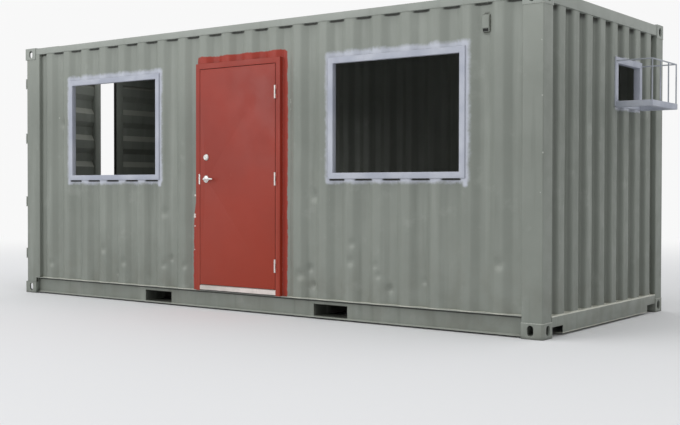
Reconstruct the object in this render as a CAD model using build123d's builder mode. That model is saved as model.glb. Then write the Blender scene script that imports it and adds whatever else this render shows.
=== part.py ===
from build123d import *
from math import ceil, floor as round_down
import os

# Overall size of the standard twenty-foot freight container. X runs along it, the long wall with the
# door and windows faces -Y, the plain end faces +X and the cargo doors face -X. Z is 0 at the ground.
length = 6058
width = 2438
height = 2591
half_length = length / 2
half_width = width / 2

# Corner castings and their lifting apertures
casting_length = 178
casting_width = 162
casting_height = 118
casting_corner = 14
casting_plate = 28.5
casting_wall = 16
aperture_from_end = 101.5
aperture_from_side = 89
aperture_from_plate = 63.5
lock_aperture_length = 124
lock_aperture_width = 63.5
side_aperture_height = 79.5
side_aperture_width = 51
end_aperture_width = 63.5

# Steel frame between the castings, all set a little inside their faces
frame_inset = 4
post_plate = 6
post_bend = 10
post_return = 55
rail_bottom = 14
rail_height = 156
rail_plate = 4.5
rail_top_flange = 48
rail_bottom_flange = 30
top_rail_size = 60
top_rail_plate = 3
roof_drop = 10
end_sill_bottom = 18
end_sill_top = 163
end_sill_depth = 60
sill_notch_width = 190
sill_notch_height = 80
end_header_height = 91
header_depth = 60
header_plate = 4

# Door end of the frame, where the cargo doors hang
door_post_edge = 2790
door_post_nose = 2994
door_post_nose_width = 12
door_post_step = 2950
door_post_channel = 113
door_post_channel_wall = 12
door_post_width = 42
door_header_depth = 120
door_header_bar = 18
door_sill_depth = 80
door_sill_bottom = 17
cargo_sill_face = 2970

# Corrugated walls, pressed from thin sheet
sheet = 2
wall_pitch = 278
wall_crest_flat = 72
wall_valley_flat = 70
wall_depth = 36
wall_first_valley = 25
end_pitch = 252
end_crest_flat = 110
end_valley_flat = 106
end_depth = 45
end_crest_drop = 9

# Roof sheet, its pressed cross troughs and the doubler plates at its corners
roof_trough_pitch = 209
roof_trough_count = 25
roof_trough_width = 118
roof_trough_depth = 20
roof_trough_slope = 24
roof_trough_margin = 95
roof_edge = 14
roof_weld_gap = 0.5
roof_doubler_plate = 4
roof_doubler_length = 360
roof_doubler_reach = 440

# Floor and what carries it
floor_top = 175
floor_board = 28
floor_gap = 8
cross_member_flange = 45
cross_member_plate = 4
outer_bay_members = 5
middle_bay_members = 5
pocket_from_middle = 1040
pocket_width = 350
pocket_height = 98
pocket_bottom = 26
pocket_plate = 4
pocket_strap = 200

# Personnel door in the long wall
doorway_middle = 17.5
doorway_width = 914
doorway_height = 2032
jamb_face = 50
jamb_depth = 120
jamb_proud = 7
rebate_depth = 49
stop_width = 16
kick_strip_depth = 58
threshold_height = 46
threshold_depth = 112
threshold_nose = 8
leaf_gap = 5
leaf_threshold_gap = 6
leaf_thickness = 44
hinge_radius = 7
hinge_pin_radius = 3
hinge_pin_clearance = 0.5
hinge_sides = 8
hinge_height = 115
hinge_tab = 25
hinge_tab_plate = 3
hinge_segment_gap = 1
hinge_heights = (433, 1195, 1955)
lock_from_edge = 77
lever_height = 1196
deadbolt_height = 1396
rose_radius = 33
rose_depth = 10
deadbolt_radius = 30
deadbolt_depth = 14
inner_rose = 56
inner_rose_depth = 6
thumb_turn_length = 40
thumb_turn_thickness = 8
thumb_turn_depth = 22
spindle = 12
spindle_bore = 18
lever_neck = 20
lever_neck_gap = 0.5
lever_length = 118
lever_thick = 12
lever_tall = 20
lever_stand_off = 28

# Window openings in the long wall
window_width = 1219
window_height = 914
window_sill = 1243
window_tube = 50
left_window_middle = -1637
right_window_middle = 1711

# Air conditioner opening in the plain end, with its shelf and bar cage
cooler_middle = 404
cooler_width = 478
cooler_height = 310
cooler_sill = 1848
cooler_tube = 50
cooler_frame_depth = 60
shelf_depth = 312
shelf_top = 1840
cage_bar = 10
cage_inset = 5
cage_top = 2180
cage_bays = 3

# Air vents near the top corners of the long walls
vent_width = 75
vent_height = 174
vent_below_rail = 59
vent_right_edge = 2580
vent_pitches_apart = 18
vent_proud = 7
vent_wall = 3
vent_mouth_height = 60
vent_mouth_depth = 14

# Cargo doors at the -X end
cargo_pin_inset = 15
cargo_pin_from_side = 14
cargo_pin_radius = 8
cargo_pin_clearance = 0.8
cargo_knuckle_radius = 13
cargo_face_from_pin = 39
cargo_leaf_thickness = 50
cargo_post_gap = 10
cargo_meeting_gap = 10
cargo_head_gap = 10
cargo_sill_gap = 10
cargo_stile_width = 100
cargo_rail_height = 140
cargo_panel_pitch = 304
cargo_panel_flat = 90
cargo_panel_slope = 62
cargo_panel_depth = 34
cargo_gasket = 5
cargo_gasket_depth = 40
cargo_front_ajar = 14
cargo_back_ajar = 2.4
blade_thickness = 12
blade_height = 70
blade_reach = 150
blades_from_sill = (235, 785)
blades_from_head = (805, 225)
lug_thickness = 14
lug_gap = 4
rod_radius = 17
rod_sides = 12
rod_from_face = 25
rod_from_stile = 330
rod_from_free_edge = 215
rod_end_below = 95
rod_end_above = 75
bracket_width = 80
bracket_height = 60
bracket_plate = 6
bracket_saddle = 20
cam_width = 44
cam_height = 32
cam_face_gap = 6
keeper_gap = 6
keeper_plate = 10
keeper_height = 56
keeper_projection = 40
handle_length = 420
handle_thick = 10
handle_tall = 26
handle_spread = 25
handle_hub = 19
handle_hub_height = 40
catch_from_rod = 374
catch_width = 40
catch_plate = 4
catch_gap = 1

# Places worked out from the sizes above
post_face = half_length - frame_inset
side_face = half_width - frame_inset
casting_inner_x = half_length - casting_length
casting_inner_y = half_width - casting_width
post_top = height - casting_height
wall_bottom = rail_bottom + rail_height
roof_top = height - roof_drop
wall_top = roof_top - top_rail_size
rail_web = side_face - rail_top_flange
wall_inner = side_face - wall_depth - sheet
end_crest = half_length - end_crest_drop
end_header_bottom = roof_top - end_header_height
door_opening_half = side_face - door_post_width
door_header_bottom = post_top - door_header_bar
aperture_x = half_length - aperture_from_end
aperture_y = half_width - aperture_from_side
vent_bottom = wall_top - vent_below_rail - vent_height

os.makedirs("parts", exist_ok=True)


def save(part, name):
    """Label a finished sub-part and write it as a STEP file of the same name."""
    part.label = name
    export_step(part, f"parts/{name}.step")


def corrugation(start, end, first_valley, pitch, crest_flat, valley_flat, depth):
    """Points (distance along the sheet, depth below its crests) of one corrugated line."""
    half_valley = valley_flat / 2
    half_crest = crest_flat / 2
    first_wave = round_down((start - first_valley) / pitch) - 1
    last_wave = ceil((end - first_valley) / pitch)
    corners = []
    for wave in range(first_wave, last_wave + 1):
        valley = first_valley + wave * pitch
        crest = valley + pitch / 2
        corners += [(valley - half_valley, depth), (valley + half_valley, depth)]
        corners += [(crest - half_crest, 0), (crest + half_crest, 0)]
    inside = [point for point in corners if start < point[0] < end]
    return [(start, depth_at(start, corners))] + inside + [(end, depth_at(end, corners))]


def depth_at(place, corners):
    """Depth of a corrugated line at one place between its corners."""
    for (a, depth_a), (b, depth_b) in zip(corners, corners[1:]):
        if a <= place <= b:
            return depth_a + (depth_b - depth_a) * (place - a) / (b - a)
    return corners[-1][1]


def side_wall_outline(start, end, side):
    """Closed outline, seen from above, of a length of side wall; side is -1 for the front wall."""
    first_valley = wall_first_valley - door_post_edge
    line = corrugation(start, end, first_valley, wall_pitch, wall_crest_flat, wall_valley_flat, wall_depth)
    outer = [(x, side * (side_face - depth)) for x, depth in line]
    inner = [(x, side * (side_face - depth - sheet)) for x, depth in line]
    return outer + inner[::-1]


def end_wall_outline(start, end):
    """Closed outline, seen from above, of a width of the plain end wall."""
    line = corrugation(start, end, 0, end_pitch, end_crest_flat, end_valley_flat, end_depth)
    outer = [(end_crest - depth, y) for y, depth in line]
    inner = [(end_crest - depth - sheet, y) for y, depth in line]
    return outer + inner[::-1]


# Corner castings: hollow blocks with an aperture in the plate and in both outer faces
with BuildPart() as bottom_corner_castings:
    with BuildSketch(Plane.XY):
        with Locations((half_length - casting_length / 2, -half_width + casting_width / 2)):
            Rectangle(casting_length, casting_width)
        outer_corner = vertices().group_by(Axis.X)[-1].sort_by(Axis.Y)[0]
        chamfer(outer_corner, casting_corner)
    extrude(amount=casting_height)
    with BuildSketch(Plane.XY.offset(casting_plate)):
        with Locations((half_length - casting_length / 2, -half_width + casting_width / 2)):
            Rectangle(casting_length - 2 * casting_wall, casting_width - 2 * casting_wall)
    extrude(amount=casting_height - casting_plate - casting_wall, mode=Mode.SUBTRACT)
    with BuildSketch(Plane.XY):
        with Locations((aperture_x, -aperture_y)):
            SlotOverall(lock_aperture_length, lock_aperture_width)
    extrude(amount=casting_plate, mode=Mode.SUBTRACT)
    with BuildSketch(Plane.XZ.offset(half_width)):
        with Locations((aperture_x, aperture_from_plate)):
            SlotOverall(side_aperture_height, side_aperture_width, rotation=90)
    extrude(amount=-casting_wall, mode=Mode.SUBTRACT)
    with BuildSketch(Plane.YZ.offset(half_length)):
        with Locations((-aperture_y, aperture_from_plate)):
            SlotOverall(side_aperture_height, end_aperture_width, rotation=90)
    extrude(amount=-casting_wall, mode=Mode.SUBTRACT)
    mirror(about=Plane.YZ)
    mirror(about=Plane.XZ)
save(bottom_corner_castings.part, "bottom_corner_castings")

with BuildPart() as top_corner_castings:
    mirror(bottom_corner_castings.part, about=Plane.XY.offset(height / 2))
save(top_corner_castings.part, "top_corner_castings")

# Plain end posts: pressed angles with returned edges
with BuildPart() as end_posts:
    with BuildSketch(Plane.XY.offset(casting_height)):
        with BuildLine():
            FilletPolyline(
                (casting_inner_x, -side_face + post_return),
                (casting_inner_x, -side_face),
                (post_face, -side_face),
                (post_face, -casting_inner_y),
                (post_face - post_return, -casting_inner_y),
                radius=post_bend,
            )
            offset(amount=post_plate, side=Side.LEFT)
        make_face()
    extrude(amount=post_top - casting_height)
    mirror(about=Plane.XZ)
save(end_posts.part, "end_posts")

# Door end posts: a pressed outer section stepped back for the hinges, closed by a heavy channel
with BuildPart() as door_end_posts:
    with BuildSketch(Plane.XY.offset(casting_height)):
        with BuildLine():
            Polyline(
                (-door_post_edge, -side_face),
                (-door_post_nose, -side_face),
                (-door_post_nose, -side_face + door_post_nose_width),
                (-door_post_step, -side_face + door_post_nose_width),
                (-door_post_step, -door_opening_half),
                (-door_post_step + door_post_channel, -door_opening_half),
                (-door_post_step + door_post_channel, -side_face + post_plate),
                (-door_post_edge - post_plate, -side_face + post_plate),
                (-door_post_edge - post_plate, -side_face + post_return),
                (-door_post_edge, -side_face + post_return),
                close=True,
            )
        make_face()
        with Locations(
            (
                -door_post_step + door_post_channel / 2,
                -(side_face - post_plate + door_opening_half + door_post_channel_wall) / 2,
            )
        ):
            Rectangle(
                door_post_channel - 2 * door_post_channel_wall,
                door_post_width - post_plate - door_post_channel_wall,
                mode=Mode.SUBTRACT,
            )
    extrude(amount=wall_top - casting_height)
    with BuildSketch(Plane.XZ.offset(half_width)):
        with Locations((-casting_inner_x, casting_height)):
            Rectangle(half_length, wall_bottom - casting_height, align=(Align.MIN, Align.MIN))
        with Locations((-casting_inner_x, post_top)):
            Rectangle(half_length, wall_top - post_top, align=(Align.MAX, Align.MIN))
    extrude(amount=-half_width, mode=Mode.SUBTRACT)
    mirror(about=Plane.XZ)
save(door_end_posts.part, "door_end_posts")

# Bottom side rails: channels with their flanges outward, pierced by the fork pockets
with BuildPart() as bottom_side_rails:
    with BuildSketch(Plane.YZ.offset(-casting_inner_x)):
        with BuildLine():
            Polyline(
                (-side_face, wall_bottom),
                (-rail_web, wall_bottom),
                (-rail_web, rail_bottom),
                (-rail_web - rail_bottom_flange, rail_bottom),
                (-rail_web - rail_bottom_flange, rail_bottom + rail_plate),
                (-rail_web - rail_plate, rail_bottom + rail_plate),
                (-rail_web - rail_plate, wall_bottom - rail_plate),
                (-side_face, wall_bottom - rail_plate),
                close=True,
            )
        make_face()
    extrude(amount=2 * casting_inner_x)
    with BuildSketch(Plane.XZ):
        with GridLocations(2 * pocket_from_middle, 0, 2, 1):
            with Locations((0, pocket_bottom - pocket_plate)):
                Rectangle(
                    pocket_width + 2 * pocket_plate,
                    pocket_height + 2 * pocket_plate,
                    align=(Align.CENTER, Align.MIN),
                )
    extrude(amount=half_width, mode=Mode.SUBTRACT)
    mirror(about=Plane.XZ)
save(bottom_side_rails.part, "bottom_side_rails")

# Top side rails: square tubes
with BuildPart() as top_side_rails:
    with BuildSketch(Plane.YZ.offset(-casting_inner_x)):
        with Locations((-side_face + top_rail_size / 2, roof_top - top_rail_size / 2)):
            Rectangle(top_rail_size, top_rail_size)
            rail_hollow = top_rail_size - 2 * top_rail_plate
            Rectangle(rail_hollow, rail_hollow, mode=Mode.SUBTRACT)
    extrude(amount=2 * casting_inner_x)
    mirror(about=Plane.XZ)
save(top_side_rails.part, "top_side_rails")

# Plain end sill: a channel open inward, cut away beside both castings
with BuildPart() as end_sill:
    with BuildSketch(Plane.XZ.offset(-casting_inner_y)):
        with BuildLine():
            Polyline(
                (post_face - end_sill_depth, end_sill_bottom),
                (post_face, end_sill_bottom),
                (post_face, end_sill_top),
                (post_face - end_sill_depth, end_sill_top),
                (post_face - end_sill_depth, end_sill_top - header_plate),
                (post_face - header_plate, end_sill_top - header_plate),
                (post_face - header_plate, end_sill_bottom + header_plate),
                (post_face - end_sill_depth, end_sill_bottom + header_plate),
                close=True,
            )
        make_face()
    extrude(amount=2 * casting_inner_y)
    with BuildSketch(Plane.YZ):
        with GridLocations(2 * casting_inner_y - sill_notch_width, 0, 2, 1):
            Rectangle(sill_notch_width, sill_notch_height, align=(Align.CENTER, Align.MIN))
    extrude(amount=half_length, mode=Mode.SUBTRACT)
save(end_sill.part, "end_sill")

# Plain end header: a closed tube between the top castings
with BuildPart() as end_header:
    with BuildSketch(Plane.XZ.offset(-casting_inner_y)):
        with Locations((post_face - header_depth / 2, roof_top - end_header_height / 2)):
            Rectangle(header_depth, end_header_height)
            Rectangle(
                header_depth - 2 * header_plate, end_header_height - 2 * header_plate, mode=Mode.SUBTRACT
            )
    extrude(amount=2 * casting_inner_y)
save(end_header.part, "end_header")

# Door end header: a tube between the castings over a bar that runs on to the posts
with BuildPart() as door_end_header:
    with BuildSketch(Plane.XZ.offset(-casting_inner_y)):
        with Locations((-cargo_sill_face + door_header_depth / 2, (post_top + roof_top) / 2)):
            Rectangle(door_header_depth, roof_top - post_top)
            Rectangle(
                door_header_depth - 2 * header_plate,
                roof_top - post_top - 2 * header_plate,
                mode=Mode.SUBTRACT,
            )
    extrude(amount=2 * casting_inner_y)
    with BuildSketch(Plane.XZ.offset(-door_opening_half)):
        with Locations((-cargo_sill_face, door_header_bottom)):
            Rectangle(door_header_depth, post_top - door_header_bottom, align=(Align.MIN, Align.MIN))
    extrude(amount=2 * door_opening_half)
save(door_end_header.part, "door_end_header")

# Door end sill: a channel open inward, its upper part run on over the castings to the posts
with BuildPart() as door_end_sill:
    with BuildSketch(Plane.XZ.offset(-door_opening_half)):
        with BuildLine():
            Polyline(
                (-cargo_sill_face, door_sill_bottom),
                (-cargo_sill_face + door_sill_depth, door_sill_bottom),
                (-cargo_sill_face + door_sill_depth, door_sill_bottom + header_plate),
                (-cargo_sill_face + header_plate, door_sill_bottom + header_plate),
                (-cargo_sill_face + header_plate, floor_top - header_plate),
                (-cargo_sill_face + door_sill_depth, floor_top - header_plate),
                (-cargo_sill_face + door_sill_depth, floor_top),
                (-cargo_sill_face, floor_top),
                close=True,
            )
        make_face()
    extrude(amount=2 * door_opening_half)
    with BuildSketch(Plane.YZ):
        with GridLocations(2 * half_width, 0, 2, 1):
            Rectangle(2 * casting_width, casting_height, align=(Align.CENTER, Align.MIN))
    extrude(amount=-half_length, mode=Mode.SUBTRACT)
save(door_end_sill.part, "door_end_sill")

# Fork pockets: tunnels across the base, open below between their end straps
with BuildPart() as fork_pockets:
    with BuildSketch(Plane.XZ.offset(-rail_web - rail_plate)):
        with GridLocations(2 * pocket_from_middle, 0, 2, 1):
            with Locations((0, pocket_bottom - pocket_plate)):
                Rectangle(
                    pocket_width + 2 * pocket_plate,
                    pocket_height + 2 * pocket_plate,
                    align=(Align.CENTER, Align.MIN),
                )
            with Locations((0, pocket_bottom)):
                Rectangle(pocket_width, pocket_height, align=(Align.CENTER, Align.MIN), mode=Mode.SUBTRACT)
    extrude(amount=2 * (rail_web + rail_plate))
    with BuildSketch(Plane.XY):
        with GridLocations(2 * pocket_from_middle, 0, 2, 1):
            Rectangle(pocket_width, 2 * (rail_web + rail_plate - pocket_strap))
    extrude(amount=pocket_bottom, mode=Mode.SUBTRACT)
save(fork_pockets.part, "fork_pockets")

# Floor boards and the cross members under them
floor_start = -cargo_sill_face + door_sill_depth
floor_end = post_face - end_sill_depth
member_height = floor_top - floor_board - rail_bottom - rail_plate
with BuildPart() as floor:
    with BuildSketch(Plane.XY.offset(floor_top - floor_board)):
        with Locations(((floor_start + floor_end) / 2, 0)):
            Rectangle(floor_end - floor_start, 2 * (rail_web - floor_gap))
    extrude(amount=floor_board)
save(floor.part, "floor")

pocket_edge = pocket_width / 2 + pocket_plate
bays = (
    (floor_start, -pocket_from_middle - pocket_edge, outer_bay_members),
    (-pocket_from_middle + pocket_edge, pocket_from_middle - pocket_edge, middle_bay_members),
    (pocket_from_middle + pocket_edge, floor_end, outer_bay_members),
)
with BuildPart() as cross_members:
    with BuildSketch(Plane.XZ.offset(-rail_web)):
        for bay_start, bay_end, members in bays:
            spacing = (bay_end - bay_start) / (members + 1)
            for index in range(members):
                member_x = bay_start + (index + 1) * spacing
                with Locations((member_x, rail_bottom + rail_plate)):
                    Rectangle(cross_member_flange, member_height, align=(Align.MIN, Align.MIN))
                member_inside = rail_bottom + rail_plate + cross_member_plate
                with Locations((member_x + cross_member_plate, member_inside)):
                    Rectangle(
                        cross_member_flange,
                        member_height - 2 * cross_member_plate,
                        align=(Align.MIN, Align.MIN),
                        mode=Mode.SUBTRACT,
                    )
    extrude(amount=2 * rail_web)
save(cross_members.part, "cross_members")

# Window frames: welded square tube, standing proud of the wall and flush with its inner face
with BuildPart() as window_frames:
    with BuildSketch(Plane.XZ.offset(wall_inner)):
        for window_middle in (left_window_middle, right_window_middle):
            with Locations((window_middle, window_sill + window_height / 2)):
                Rectangle(window_width + 2 * window_tube, window_height + 2 * window_tube)
                Rectangle(window_width, window_height, mode=Mode.SUBTRACT)
    extrude(amount=window_tube)
save(window_frames.part, "window_frames")

# Long front wall: full-height strips, and the lengths under and over its openings
window_half = window_width / 2 + window_tube
jamb_outer = doorway_width / 2 + jamb_face
doorway_top = floor_top + doorway_height
window_frame_bottom = window_sill - window_tube
window_frame_top = window_sill + window_height + window_tube
left_window = (left_window_middle - window_half, left_window_middle + window_half)
right_window = (right_window_middle - window_half, right_window_middle + window_half)
doorway = (doorway_middle - jamb_outer, doorway_middle + jamb_outer)
with BuildPart() as front_wall_strips:
    with BuildSketch(Plane.XY.offset(wall_bottom)):
        for start, end in (
            (-door_post_edge, left_window[0]),
            (left_window[1], doorway[0]),
            (doorway[1], right_window[0]),
            (right_window[1], casting_inner_x),
        ):
            with BuildLine():
                Polyline(*side_wall_outline(start, end, -1), close=True)
            make_face()
    extrude(amount=wall_top - wall_bottom)
save(front_wall_strips.part, "front_wall_strips")

with BuildPart() as front_wall_under_windows:
    with BuildSketch(Plane.XY.offset(wall_bottom)):
        for start, end in (left_window, right_window):
            with BuildLine():
                Polyline(*side_wall_outline(start, end, -1), close=True)
            make_face()
    extrude(amount=window_frame_bottom - wall_bottom)
save(front_wall_under_windows.part, "front_wall_under_windows")

with BuildPart() as front_wall_over_openings:
    for (start, end), bottom in (
        (left_window, window_frame_top),
        (doorway, doorway_top + jamb_face),
        (right_window, window_frame_top),
    ):
        with BuildSketch(Plane.XY.offset(bottom)):
            with BuildLine():
                Polyline(*side_wall_outline(start, end, -1), close=True)
            make_face()
        extrude(amount=wall_top - bottom)
save(front_wall_over_openings.part, "front_wall_over_openings")

with BuildPart() as back_wall:
    with BuildSketch(Plane.XY.offset(wall_bottom)):
        with BuildLine():
            Polyline(*side_wall_outline(-door_post_edge, casting_inner_x, 1), close=True)
        make_face()
    extrude(amount=wall_top - wall_bottom)
save(back_wall.part, "back_wall")

# Plain end wall, split beside, under and over the air conditioner opening
cooler_half = cooler_width / 2 + cooler_tube
cooler = (cooler_middle - cooler_half, cooler_middle + cooler_half)
cooler_frame_bottom = cooler_sill - cooler_tube
cooler_frame_top = cooler_sill + cooler_height + cooler_tube
with BuildPart() as end_wall_strips:
    with BuildSketch(Plane.XY.offset(end_sill_top)):
        for start, end in ((-casting_inner_y, cooler[0]), (cooler[1], casting_inner_y)):
            with BuildLine():
                Polyline(*end_wall_outline(start, end), close=True)
            make_face()
    extrude(amount=end_header_bottom - end_sill_top)
save(end_wall_strips.part, "end_wall_strips")

with BuildPart() as end_wall_by_cooler:
    for bottom, top in ((end_sill_top, cooler_frame_bottom), (cooler_frame_top, end_header_bottom)):
        with BuildSketch(Plane.XY.offset(bottom)):
            with BuildLine():
                Polyline(*end_wall_outline(*cooler), close=True)
            make_face()
        extrude(amount=top - bottom)
save(end_wall_by_cooler.part, "end_wall_by_cooler")

def trough_section(rim, top):
    """Corners of a trough's cross-section, sloping in from the width of its rim."""
    bottom = top - roof_trough_depth
    inner = rim / 2 - roof_trough_slope
    return (-rim / 2, top), (rim / 2, top), (inner, bottom), (-inner, bottom)


def trough(top, wide, long):
    """Solid form of one roof trough, sloping in on all four sides from its rim."""
    with BuildPart() as form:
        with BuildSketch(Plane.XZ):
            with BuildLine():
                Polyline(*trough_section(wide, top), close=True)
            make_face()
        extrude(amount=long / 2, both=True)
        with BuildSketch(Plane.YZ):
            with BuildLine():
                Polyline(*trough_section(long, top), close=True)
            make_face()
        extrude(amount=wide / 2, both=True, mode=Mode.INTERSECT)
    return form.part


# Roof: a sheet with pressed cross troughs between the castings, and a flat plate over each header
roof_half_width = side_face - roof_edge
trough_length = 2 * (side_face - top_rail_size - roof_trough_margin)
with BuildPart() as roof:
    with BuildSketch(Plane.XY.offset(roof_top)):
        Rectangle(2 * casting_inner_x, 2 * roof_half_width)
        for plate_start, plate_end in (
            (-cargo_sill_face + roof_edge, -casting_inner_x - roof_weld_gap),
            (casting_inner_x + roof_weld_gap, post_face - roof_edge),
        ):
            with Locations(((plate_start + plate_end) / 2, 0)):
                Rectangle(plate_end - plate_start, 2 * casting_inner_y)
    extrude(amount=sheet)
    with GridLocations(roof_trough_pitch, 0, roof_trough_count, 1):
        add(trough(roof_top, roof_trough_width + 2 * sheet, trough_length + 2 * sheet))
    with GridLocations(roof_trough_pitch, 0, roof_trough_count, 1):
        add(trough(roof_top + sheet, roof_trough_width, trough_length), mode=Mode.SUBTRACT)
save(roof.part, "roof")

with BuildPart() as roof_doublers:
    with BuildSketch(Plane.XY.offset(roof_top + sheet)):
        with Locations((casting_inner_x, -roof_half_width)):
            Rectangle(roof_doubler_length, roof_doubler_reach, align=(Align.MAX, Align.MIN))
    extrude(amount=roof_doubler_plate)
    mirror(about=Plane.YZ)
    mirror(about=Plane.XZ)
save(roof_doublers.part, "roof_doublers")

# Personnel door frame: rebated jambs and head, standing on the rail flange and the floor
frame_front = side_face + jamb_proud
frame_back = frame_front - jamb_depth
with BuildPart() as door_frame:
    with BuildSketch(Plane.XZ.offset(frame_back)):
        with Locations((doorway_middle, wall_bottom)):
            frame_tall = doorway_top + jamb_face - wall_bottom
            Rectangle(2 * jamb_outer, frame_tall, align=(Align.CENTER, Align.MIN))
    extrude(amount=jamb_depth)
    with BuildSketch(Plane.XZ.offset(frame_front)):
        with Locations((doorway_middle, floor_top)):
            Rectangle(doorway_width, doorway_height, align=(Align.CENTER, Align.MIN))
    extrude(amount=-rebate_depth, mode=Mode.SUBTRACT)
    with BuildSketch(Plane.XZ.offset(frame_front)):
        with Locations((doorway_middle, floor_top)):
            Rectangle(
                doorway_width - 2 * stop_width, doorway_height - stop_width, align=(Align.CENTER, Align.MIN)
            )
    extrude(amount=-jamb_depth, mode=Mode.SUBTRACT)
    with BuildSketch(Plane.YZ.offset(doorway[0])):
        with Locations((-frame_front + kick_strip_depth, wall_bottom)):
            Rectangle(jamb_depth, floor_top - wall_bottom, align=(Align.MIN, Align.MIN))
    extrude(amount=2 * jamb_outer, mode=Mode.SUBTRACT)
save(door_frame.part, "door_frame")

with BuildPart() as door_threshold:
    with BuildSketch(Plane.YZ.offset(doorway_middle - doorway_width / 2)):
        with BuildLine():
            Polyline(
                (-frame_front, floor_top),
                (-frame_front, floor_top + threshold_height - threshold_nose),
                (-frame_front + threshold_nose, floor_top + threshold_height),
                (-frame_front + rebate_depth, floor_top + threshold_height),
                (-frame_front + rebate_depth, floor_top),
                close=True,
            )
        make_face()
    extrude(amount=doorway_width)
    with BuildSketch(Plane.YZ.offset(doorway_middle - doorway_width / 2 + stop_width)):
        with Locations((-frame_front + rebate_depth, floor_top)):
            Rectangle(threshold_depth - rebate_depth, threshold_height / 2, align=(Align.MIN, Align.MIN))
    extrude(amount=doorway_width - 2 * stop_width)
save(door_threshold.part, "door_threshold")

# Personnel door leaf, swinging outward on hinges at its +X edge
leaf_left = doorway_middle - doorway_width / 2 + leaf_gap
leaf_right = doorway_middle + doorway_width / 2 - leaf_gap
leaf_bottom = floor_top + threshold_height + leaf_threshold_gap
leaf_top = doorway_top - leaf_gap
lock_x = leaf_left + lock_from_edge
leaf_back = frame_front - leaf_thickness
with BuildPart() as door_leaf:
    with BuildSketch(Plane.XZ.offset(leaf_back)):
        with Locations(((leaf_left + leaf_right) / 2, leaf_bottom)):
            Rectangle(leaf_right - leaf_left, leaf_top - leaf_bottom, align=(Align.CENTER, Align.MIN))
    extrude(amount=leaf_thickness)
    with BuildSketch(Plane.XZ.offset(frame_front)):
        with Locations((lock_x, lever_height)):
            Circle(spindle_bore / 2)
    extrude(amount=-leaf_thickness, mode=Mode.SUBTRACT)
save(door_leaf.part, "door_leaf")

# Butt hinges: three knuckles each, two on the frame and one on the leaf. Their pins are eight-sided
hinge_x = doorway_middle + doorway_width / 2 - leaf_gap / 2
hinge_y = -frame_front - hinge_radius
knuckle_height = (hinge_height - 2 * hinge_segment_gap) / 3
with BuildPart() as door_hinge_frame_knuckles:
    for hinge_middle in hinge_heights:
        hinge_bottom = hinge_middle - hinge_height / 2
        for knuckle_bottom in (hinge_bottom, hinge_bottom + hinge_height - knuckle_height):
            with BuildSketch(Plane.XY.offset(knuckle_bottom)):
                with Locations((hinge_x, hinge_y)):
                    Circle(hinge_radius)
                with Locations((hinge_x, -frame_front)):
                    Rectangle(hinge_tab, hinge_tab_plate, align=(Align.MIN, Align.MAX))
            extrude(amount=knuckle_height)
        with BuildSketch(Plane.XY.offset(hinge_bottom)):
            with Locations((hinge_x, hinge_y)):
                RegularPolygon(hinge_pin_radius, hinge_sides)
        extrude(amount=hinge_height)
save(door_hinge_frame_knuckles.part, "door_hinge_frame_knuckles")

with BuildPart() as door_hinge_leaf_knuckles:
    for hinge_middle in hinge_heights:
        with BuildSketch(Plane.XY.offset(hinge_middle - knuckle_height / 2)):
            with Locations((hinge_x, hinge_y)):
                Circle(hinge_radius)
            with Locations((hinge_x, -frame_front)):
                Rectangle(hinge_tab, hinge_tab_plate, align=(Align.MAX, Align.MAX))
            with Locations((hinge_x, hinge_y)):
                RegularPolygon(hinge_pin_radius + hinge_pin_clearance, hinge_sides, mode=Mode.SUBTRACT)
        extrude(amount=knuckle_height)
save(door_hinge_leaf_knuckles.part, "door_hinge_leaf_knuckles")

# Round lock rose and deadbolt outside, square rose and thumb turn inside
with BuildPart() as door_lockset:
    with BuildSketch(Plane.XZ.offset(frame_front)):
        with Locations((lock_x, lever_height)):
            Circle(rose_radius)
            Circle(spindle_bore / 2, mode=Mode.SUBTRACT)
    extrude(amount=rose_depth)
    with BuildSketch(Plane.XZ.offset(frame_front)):
        with Locations((lock_x, deadbolt_height)):
            Circle(deadbolt_radius)
    extrude(amount=deadbolt_depth)
    with BuildSketch(Plane.XZ.offset(leaf_back)):
        with Locations((lock_x, lever_height), (lock_x, deadbolt_height)):
            Rectangle(inner_rose, inner_rose)
        with Locations((lock_x, lever_height)):
            Circle(spindle_bore / 2, mode=Mode.SUBTRACT)
    extrude(amount=-inner_rose_depth)
    with BuildSketch(Plane.XZ.offset(leaf_back - inner_rose_depth)):
        with Locations((lock_x, deadbolt_height)):
            Rectangle(thumb_turn_thickness, thumb_turn_length)
    extrude(amount=-thumb_turn_depth)
save(door_lockset.part, "door_lockset")

# Lever handle: outer and inner levers on round necks, joined by a square spindle
neck_out = frame_front + rose_depth + lever_neck_gap
neck_in = leaf_back - inner_rose_depth - lever_neck_gap
grip_out = frame_front + lever_stand_off
grip_in = leaf_back - lever_stand_off - lever_thick
with BuildPart() as door_lever:
    with BuildSketch(Plane.XZ.offset(neck_in)):
        with Locations((lock_x, lever_height)):
            Rectangle(spindle, spindle)
    extrude(amount=neck_out - neck_in)
    for neck_start, neck_end in ((neck_out, grip_out), (grip_in + lever_thick, neck_in)):
        with BuildSketch(Plane.XZ.offset(neck_start)):
            with Locations((lock_x, lever_height)):
                Circle(lever_neck / 2)
        extrude(amount=neck_end - neck_start)
    for grip_plane in (grip_out, grip_in):
        with BuildSketch(Plane.XZ.offset(grip_plane)):
            with Locations((lock_x - lever_tall / 2, lever_height)):
                Rectangle(lever_length, lever_tall, align=(Align.MIN, Align.CENTER))
        extrude(amount=lever_thick)
save(door_lever.part, "door_lever")

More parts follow.
